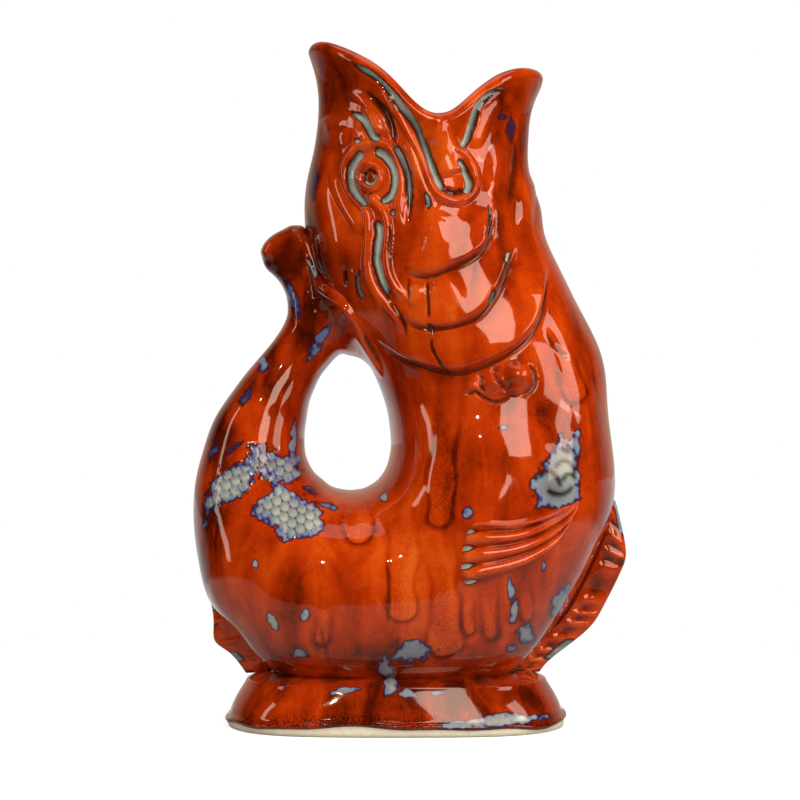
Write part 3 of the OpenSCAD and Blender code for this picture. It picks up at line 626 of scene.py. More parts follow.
# %% Strokes of the face and the gills
EYE = (371.3, 177.5)
FACE_STROKES = (
    # The rope round the eye, whose two ends run on down the cheek
    ("ridge", 6.5, 1.9, 0.01, 0.2, "373,143 362,146 353,153 347,163 345,175 348,187 354,198 362,206 368,215 "
     "369,230 369,248 369,264 373,281 382,297 394,310 404,323 411,338"),
    ("ridge", 6.5, 1.9, 0.01, 0.45, "373,143 384,145 393,151 399,162 402,177 400,193 398,209 400,226 "
     "402,244"),
    ("ridge", 6.2, 1.6, 0.05, 0.2, "371,192 374,202 381,209 387,220 388,236 387,252 388,266 393,281 402,294 "
     "411,305"),
    ("furrow", 5, 1.5, 1, 0.05, 0.05, "364,152 358,158 353,166 351,176 353,187 358,196 364,203 368,207"),
    ("furrow", 5.8, 1.6, 1, 0.05, 0.05, "374,151 382,154 389,161 394,171 395,182 393,191 388,198 380,202"),
    ("furrow", 5.6, 1.5, 1, 0.08, 0.2, "376,219 379,230 378,244 377,258 380,271 386,286 393,301"),
    ("furrow", 3.2, 0.8, 0.42, 0.1, 0.4, "393,301 401,312 408,325 410,340"),
    ("furrow", 4.4, 0.9, 1, 0.3, 0.3, "393,209 394,217"),
    ("furrow", 3, 0.2, 0.4, 0.2, 0.2, "390,222 391,240 392,256 397,264"),
    # The brow and the pads over the eye
    ("ridge", 8.5, 0.9, 0.15, 0.1, "322,130 328,124 337,120 347,118 356,122 363,129 367,137 368,144"),
    ("furrow", 5, 0.9, 0.95, 0.3, 0.3, "360,139 356,144"),
    ("furrow", 5.6, 1.5, 1, 0.3, 0.08, "350,111 358,116 365,122 370,130 374,137 382,140"),
    ("ridge", 7, 1.5, 0.25, 0.15, "364,104 371,114 376,124 379,134"),
    ("ridge", 5, 0.9, 0.3, 0.2, "350,96 366,103 379,112 386,124 388,138"),
    ("furrow", 6, 1.1, 0.54, 0.3, 0.2, "360,87 369,95 378,104 386,114 391,125 394,137 397,148"),
    ("furrow", 6.6, 1.4, 0.7, 0.1, 0.5, "393,142 399,153 405,166 409,180 410,196 410,214 408,232"),
    ("ridge", 7, 1.3, 0.25, 0.2, "404,130 410,148 416,165 422,183 428,200 428,212"),
    ("furrow", 4.4, 0.5, 0.78, 0.3, 0.3, "424,192 428,202 428,212"),
    # The upper lip: a furrow under the rim, and a rope that turns round the corner of the mouth
    ("furrow", 5.2, 1.9, 1, 0.12, 0.06, "350,62 360,68 371,74 382,83 393,95 403,108 412,121 419,133 424,145 "
     "429,158 434,172 439,184 443,194"),
    ("ridge", 6.2, 1.9, 0.2, 0.02, "372,88 385,97 396,110 404,123 413,140 420,155 425,170 430,184 437,195 "
     "446,201 455,203 464,200 471,192 474,180 472,168 466,158 458,151 452,152"),
    ("ridge", 18, 2.2, 0.25, 0.1, "426,124 435,134 443,148 449,162 454,176"),
    ("furrow", 5.5, 1.9, 0.42, 0.2, 0.2, "443,189 453,193 463,190"),
    ("furrow", 4.8, 1.7, 1, 0.1, 0.1, "456,160 462,167 466,177 467,187 463,196"),
    # The lower lip
    ("furrow", 5.6, 1.8, 0.92, 0.35, 0.05, "512,89 500,91 489,96 480,105 475,116 471,128 467,139 462,148"),
    ("ridge", 9, 1, 0.3, 0.2, "520,100 505,103 493,110 484,123 477,138 470,150"),
    ("furrow", 8, 0.7, 0.3, 0.4, 0.3, "515,130 516,160 512,190 508,215"),
    ("ridge", 11, 1.1, 0.4, 0.3, "498,140 494,170 489,200"),
    ("ridge", 10, 1, 0.3, 0.3, "530,170 526,200 524,235"),
    ("furrow", 4.6, 1.1, 0.58, 0.3, 0.2, "488,204 487,218 485,232 482,243"),
    # Soft folds on the side of the forehead and the cheek
    ("ridge", 13, 1.5, 0.25, 0.2, "341,164 337,176 340,190 348,205 358,219 366,236"),
    ("ridge", 19, 1, 0.3, 0.3, "330,150 325,172 325,198 333,225 344,250 351,270"),
    ("furrow", 4.6, 1, 0.7, 0.3, 0.3, "361,266 358,278 360,291 366,303"),
    ("furrow", 4.5, 1, 0.42, 0.3, 0.3, "344,264 345,276 348,288"),
)
FACE_SPOTS = {
    "bump": (
        (342, 136, 22, 20, 1.9, 0.3), (430, 228, 26, 24, 0.9, 0), (458, 222, 62, 66, 2.6, 0),
        (432, 300, 110, 90, 2.4, 0),
    ),
    # Painted shade on the back of the head, the neck and the lower lip; painted light, with amounts below
    # zero, on the upper lip and the gill covers
    "shade": (
        (308, 230, 48, 120, 3.6), (350, 290, 44, 74, 1.6), (338, 80, 34, 50, 1), (522, 150, 30, 70, 0.4),
        (492, 112, 26, 44, 2.6), (442, 145, 56, 76, -1.3), (365, 350, 30, 50, 0.8), (470, 330, 80, 60, -0.9),
    ),
    "blot": ((315, 180, 8, 20, 0.48, 0), (511, 128, 6, 15, 0.46, 0), (502, 117, 9, 4, 0.42, 0)),
}

GILL_STROKES = (
    # The three covers, from the corner of the mouth down
    ("cover", 2.3, 58, 4.2, 0.2, 0.3, 0.42, "489,206 487,224 484,240 476,252 462,262 446,268 434,273 422,274 "
     "410,270 397,259"),
    ("cover", 2.5, 56, 4.4, 0.16, 0.3, 0.42, "512,242 507,259 501,275 494,290 486,303 475,315 461,321 "
     "446,324 430,324 415,320 404,310 396,298"),
    ("cover", 3, 58, 4.8, 0.16, 0.25, 0.4, "546,262 544,282 540,302 534,322 523,338 509,349 493,358 474,366 "
     "455,370 438,367 420,361 402,353 386,341 372,328"),
    # Slits at their ends, and veins that run down from them
    ("furrow", 3.8, 1, 1, 0.3, 0.3, "507,251 505,259 502,266"),
    ("furrow", 4.2, 1, 0.8, 0.3, 0.3, "493,290 490,299 486,306"),
    ("furrow", 2.4, 0.5, 0.52, 0.2, 0.2, "428,280 429,295 431,310 431,320"),
    ("furrow", 3.8, 0.6, 0.62, 0.3, 0.3, "431,320 433,327 435,334"),
    ("furrow", 3, 0.5, 0.5, 0.1, 0.4, "434,334 435,346 441,358 448,372 456,386"),
    ("furrow", 2.8, 0.6, 0.42, 0.3, 0.3, "411,274 410,290 413,304"),
    ("ridge", 8, 0.9, 0.3, 0.3, "420,285 416,298 410,306"),
)

TUFT_STROKES = (
    # The creases between the lobes of the small fin that curls out under the gill cover
    ("furrow", 3.4, 1.2, 0.36, 0.15, 0.15, "528,364 534,374 532,388 520,397"),
    ("furrow", 3.2, 1.4, 0.36, 0.15, 0.15, "499,366 495,374 500,384 507,390"),
    ("furrow", 3.6, 1.3, 0.36, 0.15, 0.15, "464,396 474,392 482,396 492,401 502,399 510,396"),
    ("furrow", 3.2, 1.1, 0.38, 0.15, 0.15, "482,374 481,384 485,392"),
)
TUFT_SPOTS = {
    "bump": (
        (517, 376, 22, 19, 3.4, 0.5), (494, 383, 14, 13, 2.4, 0.4), (474, 386, 13, 12, 1.5, 0.3),
        (514, 390, 9, 7, 1, 0.3),
    ),
}
print("the face is drawn about the eye at pixel", EYE)

# %% [markdown]
# ### Chest, belly and tail
# Lower down the mould is calmer, and the glaze does the drawing. It ran in thick drips, broke
# grey and blue where it pooled, and left scaly patches bare of red on the tail and behind the fin.
# The further rows are: drip: half width and height; line: half width and how dark; patch: pool,
# scale width, turn, relief, raggedness and softness of the border.

# %% Strokes of the body and the tail
BODY_STROKES = (
    # The chest, and the bare patch behind the fin with its seams
    ("ridge", 14, 0.7, 0.3, 0.3, "555,300 566,350 585,400 594,450"),
    ("patch", 0.84, 0, 0, 0.1, 3.4, 11, "564,427 562,441 570,443 578,432 576,450 578,469 579,492 571,506 "
     "559,509 544,506 535,506 539,498 532,486 538,472 547,458 558,441"),
    ("line", 4.2, 0.38, "553,470 562,461 571,465 575,478"),
    ("line", 4.2, 0.38, "537,480 547,471 557,478 561,489"),
    ("line", 4.2, 0.38, "561,482 569,474 577,481"),
    ("line", 4.2, 0.38, "545,489 556,494 567,492 574,484"),
    ("line", 4.2, 0.38, "560,446 567,452 573,447"),
    # Dark veins
    ("furrow", 5, 0.1, 0.31, 0.15, 0.15, "386,560 389,591 387,629"),
    ("furrow", 5, 0.1, 0.31, 0.15, 0.15, "320,625 325,645 331,670"),
    ("furrow", 5, 0.1, 0.31, 0.15, 0.15, "546,330 551,342 568,360"),
    # Drips
    ("drip", 12, 0.14, "441,378 446,430 441,480 437,516"),
    ("drip", 15, 0.34, "440,525 444,570 447,615 447,642"),
    ("drip", 14, 0.14, "404,500 404,560 402,606"),
    ("drip", 7, 0.34, "490,578 489,610 490,632"),
    ("drip", 7, 0.34, "524,582 526,602 527,616"),
    ("drip", 6, 0.34, "470,594 467,612 469,628"),
    ("drip", 14, 0.14, "352,496 354,516 356,534"),
    ("drip", 9, 0.14, "560,338 566,365 574,392"),
    ("drip", 8, 0.34, "322,596 324,618 322,636"),
)
BODY_SPOTS = {
    # Painted shade along the waist, under the gills and on the chest, and painted light, with amounts below
    # zero, on the middle of the belly and its sides; the narrow ones are the glaze's own dark runs
    "shade": (
        (395, 550, 120, 110, -1.3), (590, 400, 40, 90, 0.6), (520, 655, 90, 50, 0.8),
        (400, 668, 200, 34, 1.8), (515, 420, 64, 80, 1.6), (300, 655, 70, 40, 0.6), (560, 350, 40, 60, -0.8),
        (590, 540, 60, 80, -1), (240, 590, 50, 60, -1.2), (430, 420, 70, 60, -0.8), (272, 612, 12, 30, 1.6),
        (308, 600, 10, 24, 1.6), (297, 650, 26, 14, 1.8), (446, 500, 22, 60, 1.6), (476, 480, 18, 50, 1.4),
        (420, 640, 60, 30, 1.2),
    ),
    "blot": (
        (577, 446, 4, 14, 0.8, -8), (503, 427, 6, 3, 0.85, 0), (511, 590, 5, 15, 0.85, -8),
        (514, 612, 5, 15, 0.85, 12), (526, 634, 13, 9, 0.85, 15), (561, 601, 10, 20, 0.8, 25),
        (468, 512, 8, 7, 0.75, 0), (384, 497, 5, 5, 0.9, 0), (255, 564, 4, 5, 0.95, 0),
        (272, 620, 5, 11, 0.95, -25), (305, 614, 6, 7, 0.95, 20), (299, 653, 10, 5, 0.85, 0),
        (412, 651, 27, 13, 0.78, -14), (385, 666, 10, 12, 0.8, 0), (512, 648, 7, 4, 0.7, 0),
        (544, 566, 3, 8, 0.7, 0), (544, 548, 3, 6, 0.6, 0), (478, 560, 4, 10, 0.5, 0),
    ),
}

TAIL_STROKES = (
    # The two patches of scales
    ("patch", 0.93, 9.8, -24, 0.26, 4.2, 12.5, "205,527 203,510 211,491 230,466 248,459 251,447 270,450 "
     "282,459 297,457 300,474 285,482 263,477 251,481 239,495 221,504"),
    ("patch", 0.93, 9.8, -24, 0.26, 4.2, 12.5, "252,516 256,503 270,493 276,486 288,490 300,498 317,505 "
     "321,525 308,535 288,540 278,530 270,521 261,520"),
    # The folds of the fin, and the rope where it lies on the neck
    ("furrow", 4.6, 0.9, 0.95, 0.25, 0.2, "306,256 311,266 317,279"),
    ("furrow", 4.4, 1, 0.95, 0.2, 0.25, "365,334 371,343 376,353 379,362"),
    ("ridge", 7.5, 2.2, 0.1, 0.3, "306,232 312,245 319,262 326,280 338,291 350,301 361,313 370,327 378,342 "
     "386,357 393,372 400,388"),
    ("ridge", 9, 1.6, 0.2, 0.2, "265,262 268,248 278,238 291,231 302,229"),
    ("furrow", 15, 0.9, 0.1, 0.3, 0.3, "285,262 296,285 306,312 314,338"),
    ("furrow", 13, 0.9, 0.1, 0.3, 0.3, "318,300 330,318 341,338"),
)
TAIL_SPOTS = {
    # Painted shade over the top and the left side of the tail, partly also the glaze's own darker places
    "shade": (
        (286, 275, 70, 90, 4), (318, 335, 56, 70, 3), (256, 380, 50, 80, 3.4), (214, 430, 40, 110, 3),
        (212, 545, 34, 80, 2.2), (250, 535, 44, 40, 1.2),
    ),
    "blot": (
        (293, 440, 5, 24, 0.8, 4), (330, 506, 13, 4, 0.7, 20), (214, 450, 6, 14, 0.52, 20),
        (232, 449, 20, 3.4, 0.46, -38), (311, 490, 11, 4, 0.56, 30), (263, 364, 8, 8, 0.72, 0),
        (292, 298, 7, 24, 0.56, -20), (320, 340, 7, 28, 0.64, 30), (247, 394, 6, 18, 0.5, 30),
    ),
}

# The parts of the mould: their spots and their strokes
FACE, GILLS, TUFT = (FACE_SPOTS, FACE_STROKES), ({}, GILL_STROKES), (TUFT_SPOTS, TUFT_STROKES)
BODY, TAIL = (BODY_SPOTS, BODY_STROKES), (TAIL_SPOTS, TAIL_STROKES)
print("the body carries", len(BODY_STROKES), "strokes and the tail", len(TAIL_STROKES))

# %% [markdown]
# ## The skin of the jug
# Relief moves each point along the smooth skin's own normal. Glaze is never quite even, so a slow
# waviness of about a tenth of a millimetre lies under everything.

# %% Displace the grid
def unit(vectors):
    """Vectors brought to a length of one."""
    return vectors / np.maximum(np.linalg.norm(vectors, axis=-1, keepdims=True), 1e-9)


def grid_normals(rows):
    """Normals of a grid whose columns close in a loop: the run along the rows crossed with the
    run along the columns."""
    down = np.gradient(rows, axis=0)
    across = (np.roll(rows, -1, axis=1) - np.roll(rows, 1, axis=1)) / 2
    return unit(np.cross(down, across))


def waviness(points, pitch, seed):
    """Slow uneven swelling: a sum of five sines that run in different directions."""
    rng = np.random.default_rng(seed)
    total = np.zeros(points.shape[:-1])
    for _ in range(5):
        direction = rng.normal(size=3)
        direction *= 2 * np.pi / (pitch * rng.uniform(0.7, 1.4) * np.linalg.norm(direction))
        total += np.sin(points @ direction + rng.uniform(0, 2 * np.pi))
    return total / 5


# Rows of the inside that go before the rim's bead, so that its first normals have a neighbour
LEAD_ROWS = 3
# The slow waviness of the glaze: height and pitch in millimetres, and seed
WAVES = ((0.12, 26, 4), (0.03, 9, 7))
rows_out, rows_bead = len(outer), len(bead)
lead_in = np.concatenate([inner[:LEAD_ROWS][::-1], bead, outer])
smooth_normals = grid_normals(lead_in)[LEAD_ROWS:]
smooth_skin = lead_in[LEAD_ROWS:]
found = np.zeros((5,) + smooth_skin.shape[:2])
chest_row, tail_row = rows_bead + ROW["chest"], rows_bead + ROW["tail"]
for first, last, parts in (
    (0, chest_row, (FACE, GILLS, TUFT, BODY)),
    (chest_row, tail_row, (GILLS, TUFT, BODY, TAIL)),
    (tail_row, len(smooth_skin), (TAIL,)),
):
    relief = Relief(smooth_skin[first:last])
    for spots, strokes in parts:
        relief.carve(spots, strokes)
    found[:, first:last] = relief.results((last - first, COLUMNS))
height = found[0]
for size, pitch, seed in WAVES:
    height = height + size * waviness(smooth_skin, pitch, seed)
skin = smooth_skin + smooth_normals * height[..., None]

FULL = np.concatenate([inner[::-1], skin])
GLAZE_VALUES = {
    label: np.concatenate([np.zeros(inner.size // 3), values.ravel(), [0, 0]])
    for label, values in zip(("pool", "blue", "thin", "grit"), found[1:])
}
OUT_START = rows_out + rows_bead
print("points of the skin:", FULL[..., 0].size)
print("relief in mm:", height.min().round(2), "to", height.max().round(2))

# %% [markdown]
# ## Cutting the cast sections
# Each section is a range of rows: down its outside, across its lower joint, and back up its
# inside. Every section is closed, so it has the thickness of the real wall. Corners take their
# normals from the whole grid, which hides the joints as the glaze does.

# %% Meshes from rings
INSIDE_STEP = 6
pieces = {}


def ring(row):
    """The point numbers of one row of the full grid."""
    return row * COLUMNS + np.arange(COLUMNS)


def out_row(row):
    """The point numbers of a row of the outside, counted down from the rim."""
    return ring(OUT_START + row)


def in_row(row):
    """The point numbers of a row of the inside, counted down from the rim."""
    return ring(rows_out - 1 - row)


def out_rows(first, last):
    """All rows of the outside from first to last, both of them too."""
    return [out_row(row) for row in range(first, last + 1)]


def triangles_of(*corner_sets):
    """Triangles from sets of three arrays of point numbers, one array for each corner."""
    return np.concatenate([np.stack(corners, -1).reshape(-1, 3) for corners in corner_sets])


def triangles_between(rings):
    """Triangles between each ring and the next, without those that have no area."""
    rings = np.array(rings)
    a, b = rings[:-1], rings[1:]
    a_next, b_next = np.roll(a, -1, axis=1), np.roll(b, -1, axis=1)
    made = triangles_of((a, b, b_next), (a, b_next, a_next))
    keep = (made[:, 0] != made[:, 1]) & (made[:, 1] != made[:, 2]) & (made[:, 2] != made[:, 0])
    return made[keep]


def facing(points, triangles):
    """Each triangle's own normal, twice its area long."""
    a, b, c = (points[triangles[:, k]] for k in range(3))
    return np.cross(b - a, c - a)


def make_piece(name, points, triangles, attributes, corner_normals=None):
    """A mesh object from points in millimetres and triangles, with a value per point for each
    attribute and, where given, a normal per corner."""
    used, triangles = np.unique(triangles, return_inverse=True)
    triangles = triangles.reshape(-1, 3)
    mesh = bpy.data.meshes.new(name)
    mesh.vertices.add(len(used))
    mesh.vertices.foreach_set("co", (points[used] * MM).astype(np.float32).ravel())
    mesh.loops.add(triangles.size)
    mesh.loops.foreach_set("vertex_index", triangles.astype(np.int32).ravel())
    mesh.polygons.add(len(triangles))
    mesh.polygons.foreach_set("loop_start", np.arange(0, triangles.size, 3, dtype=np.int32))
    mesh.polygons.foreach_set("use_smooth", np.ones(len(triangles), dtype=bool))
    mesh.update(calc_edges=True)
    for label, values in attributes.items():
        data = mesh.attributes.new(label, "FLOAT", "POINT").data
        data.foreach_set("value", values.ravel()[used].astype(np.float32))
    if corner_normals is not None:
        mesh.normals_split_custom_set(corner_normals.reshape(-1, 3).tolist())
    piece = bpy.data.objects.new(name, mesh)
    bpy.context.scene.collection.objects.link(piece)
    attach(piece, "root")
    pieces[name] = piece
    print(f"{name}: {len(used)} points, {len(triangles)} triangles")


inner_end = int(np.searchsorted(places, KNOTS[len(inner_keys) - 1]))
grid_points = FULL.reshape(-1, 3)
middles = [grid_points[centred].mean(0) for centred in (out_row(ROW["fin"]), in_row(inner_end))]
ALL_POINTS = np.concatenate([grid_points, middles])
ALL_NORMALS = np.concatenate([grid_normals(FULL).reshape(-1, 3), [[0, 0, 1], [0, 0, 1]]])
FIN_CENTRE, CAVITY_CENTRE = (np.full(COLUMNS, len(grid_points) + k) for k in (0, 1))


def make_section(name, runs, joints):
    """A closed section from runs of rings. Its joints, each between a pair of rings, keep flat
    normals."""
    skin_set = np.concatenate([triangles_between(run) for run in runs])
    joint_set = np.concatenate([triangles_between(pair) for pair in joints])
    flat = unit(facing(ALL_POINTS, joint_set))
    corners = np.concatenate([ALL_NORMALS[skin_set], np.repeat(flat[:, None], 3, axis=1)])
    make_piece(name, ALL_POINTS, np.concatenate([skin_set, joint_set]), GLAZE_VALUES, corners)


def inner_run(top, bottom):
    """Rings up the inside, several rows apart, with both ends exact."""
    rows = np.unique(np.append(np.arange(top, bottom, INSIDE_STEP), bottom))[::-1]
    return [in_row(row) for row in rows]


print("points with the two centres:", len(ALL_POINTS))

# %% Cut the sections
for name, top, bottom in (
    ("head", "lip", "neck"), ("chest", "neck", "chest"), ("belly", "chest", "middle"),
    ("tail_root", "middle", "tail"),
):
    first, last = ROW[top], ROW[bottom]
    make_section(
        name, [out_rows(first, last), inner_run(first, last)],
        [[out_row(last), in_row(last)], [in_row(first), out_row(first)]],
    )

last = ROW["lip"]
inside, over = [in_row(row) for row in range(last, -1, -1)], [ring(rows_out + k) for k in range(rows_bead)]
make_section("mouth_lip", [inside + over + out_rows(0, last)], [[out_row(last), in_row(last)]])

first, last = ROW["tail"], ROW["fin"]
make_section(
    "tail_handle", [out_rows(first, last), inner_run(first, inner_end)],
    [[out_row(last), FIN_CENTRE], [CAVITY_CENTRE, in_row(inner_end)], [in_row(first), out_row(first)]],
)

# The fin closes along its upper edge: each column's last point is shared with the one opposite
first, last = ROW["fin"], ROW["end"]
outside = out_rows(first, last)
column = np.arange(COLUMNS)
outside[-1] = out_row(last)[np.minimum(column, COLUMNS - column) % COLUMNS]
make_section("tail_fin", [outside], [[FIN_CENTRE, out_row(first)]])

# %% [markdown]
# ## The foot
# The fish stands on an oval foot that flares out below its waist. The glaze ran down and stopped
# in a thick wavy roll just above the table, and the potter wiped the rim below it clean, so a
# band of bare cream clay shows. The foot is one profile swept round an oval, because both its
# thickness and its glaze line change with the height alone, apart from the waves.

# %% The foot
# Each row of the profile: the share of the height, and the share of the way from foot to waist
FOOT_SHARES = np.array([
    [1, 1], [0.95, 0.78], [0.88, 0.60], [0.80, 0.48], [0.62, 0.31], [0.44, 0.17], [0.26, 0.07], [0.10, 0],
    [0.04, 0.01],
])
FOOT_MIDDLE = -0.032 * JUG_WIDTH
WAIST_HALF = np.array([0.61 * JUG_WIDTH, 0.67 * BELLY_DEPTH]) / 2
FOOT_HALF = np.array([FOOT_WIDTH, FOOT_DEPTH]) / 2
FOOT_RING, FOOT_RECESS = 9.0, 2.5
FOOT_FLOOR, WAIST_INSIDE = 8.0, 16.5
FOOT_ROWS = 90
FOOT_FULLNESS = 0.42
GLAZE_SKIN = 0.9
BEAD_HEIGHT = 17.0
FOOT_SPOTS = {
    "blot": (
        (345, 690, 17, 4, 0.8, -8), (390, 684, 9, 13, 0.9, 15), (408, 694, 12, 5, 0.85, 0),
        (436, 693, 9, 3, 0.7, 0), (500, 720, 52, 7, 0.95, -6), (455, 725, 20, 5, 0.8, 0),
    ),
    # Painted shade on the foot just under the belly's waist
    "shade": ((450, 688, 150, 60, 3.4),),
}


def hump(value, middle, width):
    """A soft swelling: e to the minus square of the distance from the middle over the width."""
    return np.exp(-((value - middle) / width) ** 2)


def foot_ring(half, z, in_share=0.0):
    """An oval ring about the foot's middle, fullest where it stands."""
    deep = np.sign(SIN) * oval_depth(COS, mix(FOOT_FULLNESS, BODY_FULLNESS, in_share))
    return np.stack([FOOT_MIDDLE + half[..., 0] * COS, half[..., 1] * deep, np.full(COLUMNS, z)], axis=-1)


profile = spline(np.linspace(0, 1, len(FOOT_SHARES)), FOOT_SHARES, np.linspace(0, 1, FOOT_ROWS))
glaze_line = (
    2.7 + 0.6 * np.sin(3 * ANGLES + 0.6) + 0.4 * np.sin(7 * ANGLES + 2.0) + 0.25 * np.sin(13 * ANGLES)
)
rings, bare, edge_grit = [], [], []
for z_share, in_share in profile:
    z = z_share * FOOT_HEIGHT
    above = z - glaze_line
    roll = 1.15 * hump(above, 1.0, 1.1) + 0.45 * smooth(above / 0.8) * smooth(z_share * 3)
    roll += 0.5 * hump(z, BEAD_HEIGHT, 1.2)
    half = mix(FOOT_HALF, WAIST_HALF, in_share) - GLAZE_SKIN + roll[:, None] * smooth((1 - z_share) * 6)
    rings.append(foot_ring(half, z, in_share))
    bare.append(smooth(0.5 - above / 0.5))
    edge_grit.append(hump(above, 1.2, 2.6))
# Under the foot to the middle of its recess, then from the middle of its floor up inside the waist
for half, z in (
    (FOOT_HALF - 1.1, 0.3), (FOOT_HALF - 2.0, 0.0), (FOOT_HALF - FOOT_RING + 1.2, 0.0),
    (FOOT_HALF - FOOT_RING, 0.5), (FOOT_HALF - FOOT_RING - 0.8, FOOT_RECESS), (FOOT_HALF * 0.02, FOOT_RECESS),
    (WAIST_HALF * 0.02, FOOT_FLOOR), (WAIST_HALF * 0.72, FOOT_FLOOR), (WAIST_HALF * 0.93, WAIST_INSIDE),
):
    rings.append(foot_ring(half, z))
    bare.append(np.ones(COLUMNS))
rings.append(rings[0])
bare.append(bare[0])
foot_points, bare = np.array(rings), np.array(bare)
closing = np.arange(foot_points[..., 0].size).reshape(-1, COLUMNS)
recess_row, floor_row = FOOT_ROWS + 5, FOOT_ROWS + 6
for row in (recess_row, floor_row):
    closing[row] = closing[row, 0]
    foot_points[row] = foot_points[row].mean(0)
closing[-1] = closing[0]
loops = np.concatenate([triangles_between(closing[:floor_row]), triangles_between(closing[floor_row:])])
foot_relief = Relief(foot_points)
foot_relief.carve(FOOT_SPOTS)
_, foot_pool, foot_blue, foot_thin, grit = foot_relief.results(bare.shape)
grit[:FOOT_ROWS] = edge_grit
make_piece("foot", foot_points.reshape(-1, 3), loops, {
    "bare": bare, "pool": foot_pool * (1 - bare), "blue": foot_blue, "grit": grit,
    # Darker all over, darker still where peppered, with the painted shade of its spot
    "thin": foot_thin - 0.8 - 2.2 * grit,
})

# %% [markdown]
# ## Fins and eyes
# These sprigs lie on the skin, so each is a small patch whose points are dropped onto it. The
# skin's depth at a pixel is the weighted mean of the grid points near it. The edge of a patch
# dips below the skin, as a sprig pressed onto wet clay does.

# %% Sprigs on the skin
SPRIG_BACK = -1.6
SPRIG_REACH, SPRIG_BLUR = 12, 18
BATCH = 200


def skin_points(pixels, first, last):
    """Points on the smooth skin of the left side behind pixels, from rows first to last. A grid
    point weighs e to the minus square of its distance over the blur."""
    known = outer[first:last, 1:COLUMNS // 2].reshape(-1, 3)
    spots = to_pixels(known)
    flat = pixels.reshape(-1, 2)
    near = np.all((spots > flat.min(0) - SPRIG_REACH) & (spots < flat.max(0) + SPRIG_REACH), axis=1)
    known, spots = known[near], spots[near]
    depth = np.empty(len(flat))
    for k in range(0, len(flat), BATCH):
        gap = flat[k:k + BATCH, None] - spots[None]
        weight = np.exp(-(gap ** 2).sum(-1) / SPRIG_BLUR)
        depth[k:k + BATCH] = weight @ known[:, 1] / np.maximum(weight.sum(1), 1e-12)
    shrink = (CAMERA_DISTANCE - depth) / CAMERA_DISTANCE
    x = CAMERA_X + ((flat[:, 0] - PIXEL_ORIGIN[0]) * PIXEL - CAMERA_X) * shrink
    z = CAMERA_Z + ((PIXEL_ORIGIN[1] - flat[:, 1]) * PIXEL - CAMERA_Z) * shrink
    return np.stack([x, depth, z], axis=-1).reshape(pixels.shape[:-1] + (3,))


def sheet_normals(points):
    """Normals of a sheet, on the side that faces away from the middle plane."""
    normal = unit(np.cross(np.gradient(points, axis=0), np.gradient(points, axis=1)))
    return normal * np.sign(normal[..., 1:2])


def disc_normal(points):
    """One normal for a whole disc: across its rim by half of it."""
    rim = points[-1]
    half, quarter = len(rim) // 4 * 2, len(rim) // 4
    normal = unit(np.cross(rim[0] - rim[half], rim[quarter] - rim[quarter + half]))
    return normal * np.sign(normal[1])


def lay_sprig(name, points, lift, attributes, disc):
    """A closed sprig on each side: its face is lifted along the skin's normal, and its back is the
    same patch below the skin. A disc is rings about its middle, a sheet has four edges."""
    normal = disc_normal(points) if disc else sheet_normals(points)
    numbers, size = np.arange(lift.size).reshape(lift.shape), lift.size
    both = np.concatenate([points + normal * lift[..., None], points + normal * SPRIG_BACK]).reshape(-1, 3)
    if disc:
        numbers[0] = numbers[0, 0]
        tris = triangles_between(np.concatenate([numbers, numbers[::-1] + size]))
        face_count = len(tris)
    else:
        a, b, c, d = numbers[:-1, :-1], numbers[1:, :-1], numbers[1:, 1:], numbers[:-1, 1:]
        top = triangles_of((a, b, c), (a, c, d))
        edge = np.concatenate([numbers[0], numbers[1:, -1], numbers[-1, -2::-1], numbers[-2:0:-1, 0]])
        after = np.roll(edge, -1)
        side = triangles_of((edge, after, after + size), (edge, after + size, edge + size))
        tris = np.concatenate([top, top[:, ::-1] + size, side])
        face_count = len(top)
    # The first third lies in the face, and has to look outwards
    if facing(both, tris[:face_count // 3])[:, 1].sum() < 0:
        tris = tris[:, ::-1]
    values = {label: np.tile(value.ravel(), 2) for label, value in attributes.items()}
    make_piece("left_" + name, both, tris, values)
    make_piece("right_" + name, both * [1, -1, 1], tris[:, ::-1], values)


print("a sprig is drawn from", SPRIG_REACH, "pixels round it")

# %% Fins on the sides
# The fin's upper and lower edge run from its root to its tip; the third line closes the tip
SIDE_TOP = "578,497 566,503 550,508 530,514 508,518 488,518 476,521"
SIDE_LOW = "580,503 574,518 560,541 541,560 516,574 490,583 464,590"
SIDE_TIP = "476,521 465,530 459,545 456,562 456,578 464,590"
SIDE_ROWS, SIDE_COLUMNS = 141, 121
RAYS = 4
EDGE_DIP, SIDE_THICK, RAY_HEIGHT, DIMPLE_DEPTH = -1.4, 4.6, 1.7, 1.2

fin_u, fin_v = np.linspace(0, 1, SIDE_ROWS)[:, None], np.linspace(0, 1, SIDE_COLUMNS)[None]
top_edge, low_edge = (along(pairs(edge), fin_u.ravel()) for edge in (SIDE_TOP, SIDE_LOW))
tip_edge = along(pairs(SIDE_TIP), fin_v.ravel())
fin_pixels = mix(top_edge[:, None], low_edge[:, None], fin_v[..., None])
fin_pixels = fin_pixels + (tip_edge - fin_pixels[-1])[None] * (fin_u ** 3)[..., None]
fin_points = skin_points(fin_pixels, ROW["chest"] - 20, ROW["middle"] + 10)
# How far a point lies from the nearest edge; the two long edges draw together at the root
spread = np.linspace(0.1, 1, SIDE_ROWS)[:, None]
whole = np.ones((SIDE_ROWS, SIDE_COLUMNS))
border = np.minimum.reduce([
    fin_v * spread, (1 - fin_v) * spread, (1 - fin_u) * 1.5 * whole, fin_u * 2.5 * whole,
])
rib = (0.5 + 0.5 * np.cos(2 * np.pi * (fin_v * (RAYS + 0.6) + 0.4))) ** 0.6
inside = smooth(border * 9)
rib_strength = smooth(fin_u / 0.25) * inside
lift = EDGE_DIP + SIDE_THICK * inside * mix(0.72, 1.0, smooth(fin_u * 1.6))
lift += (RAY_HEIGHT * (rib - 0.5) + rope_profile(fin_v - 0.09, 0.11)) * rib_strength
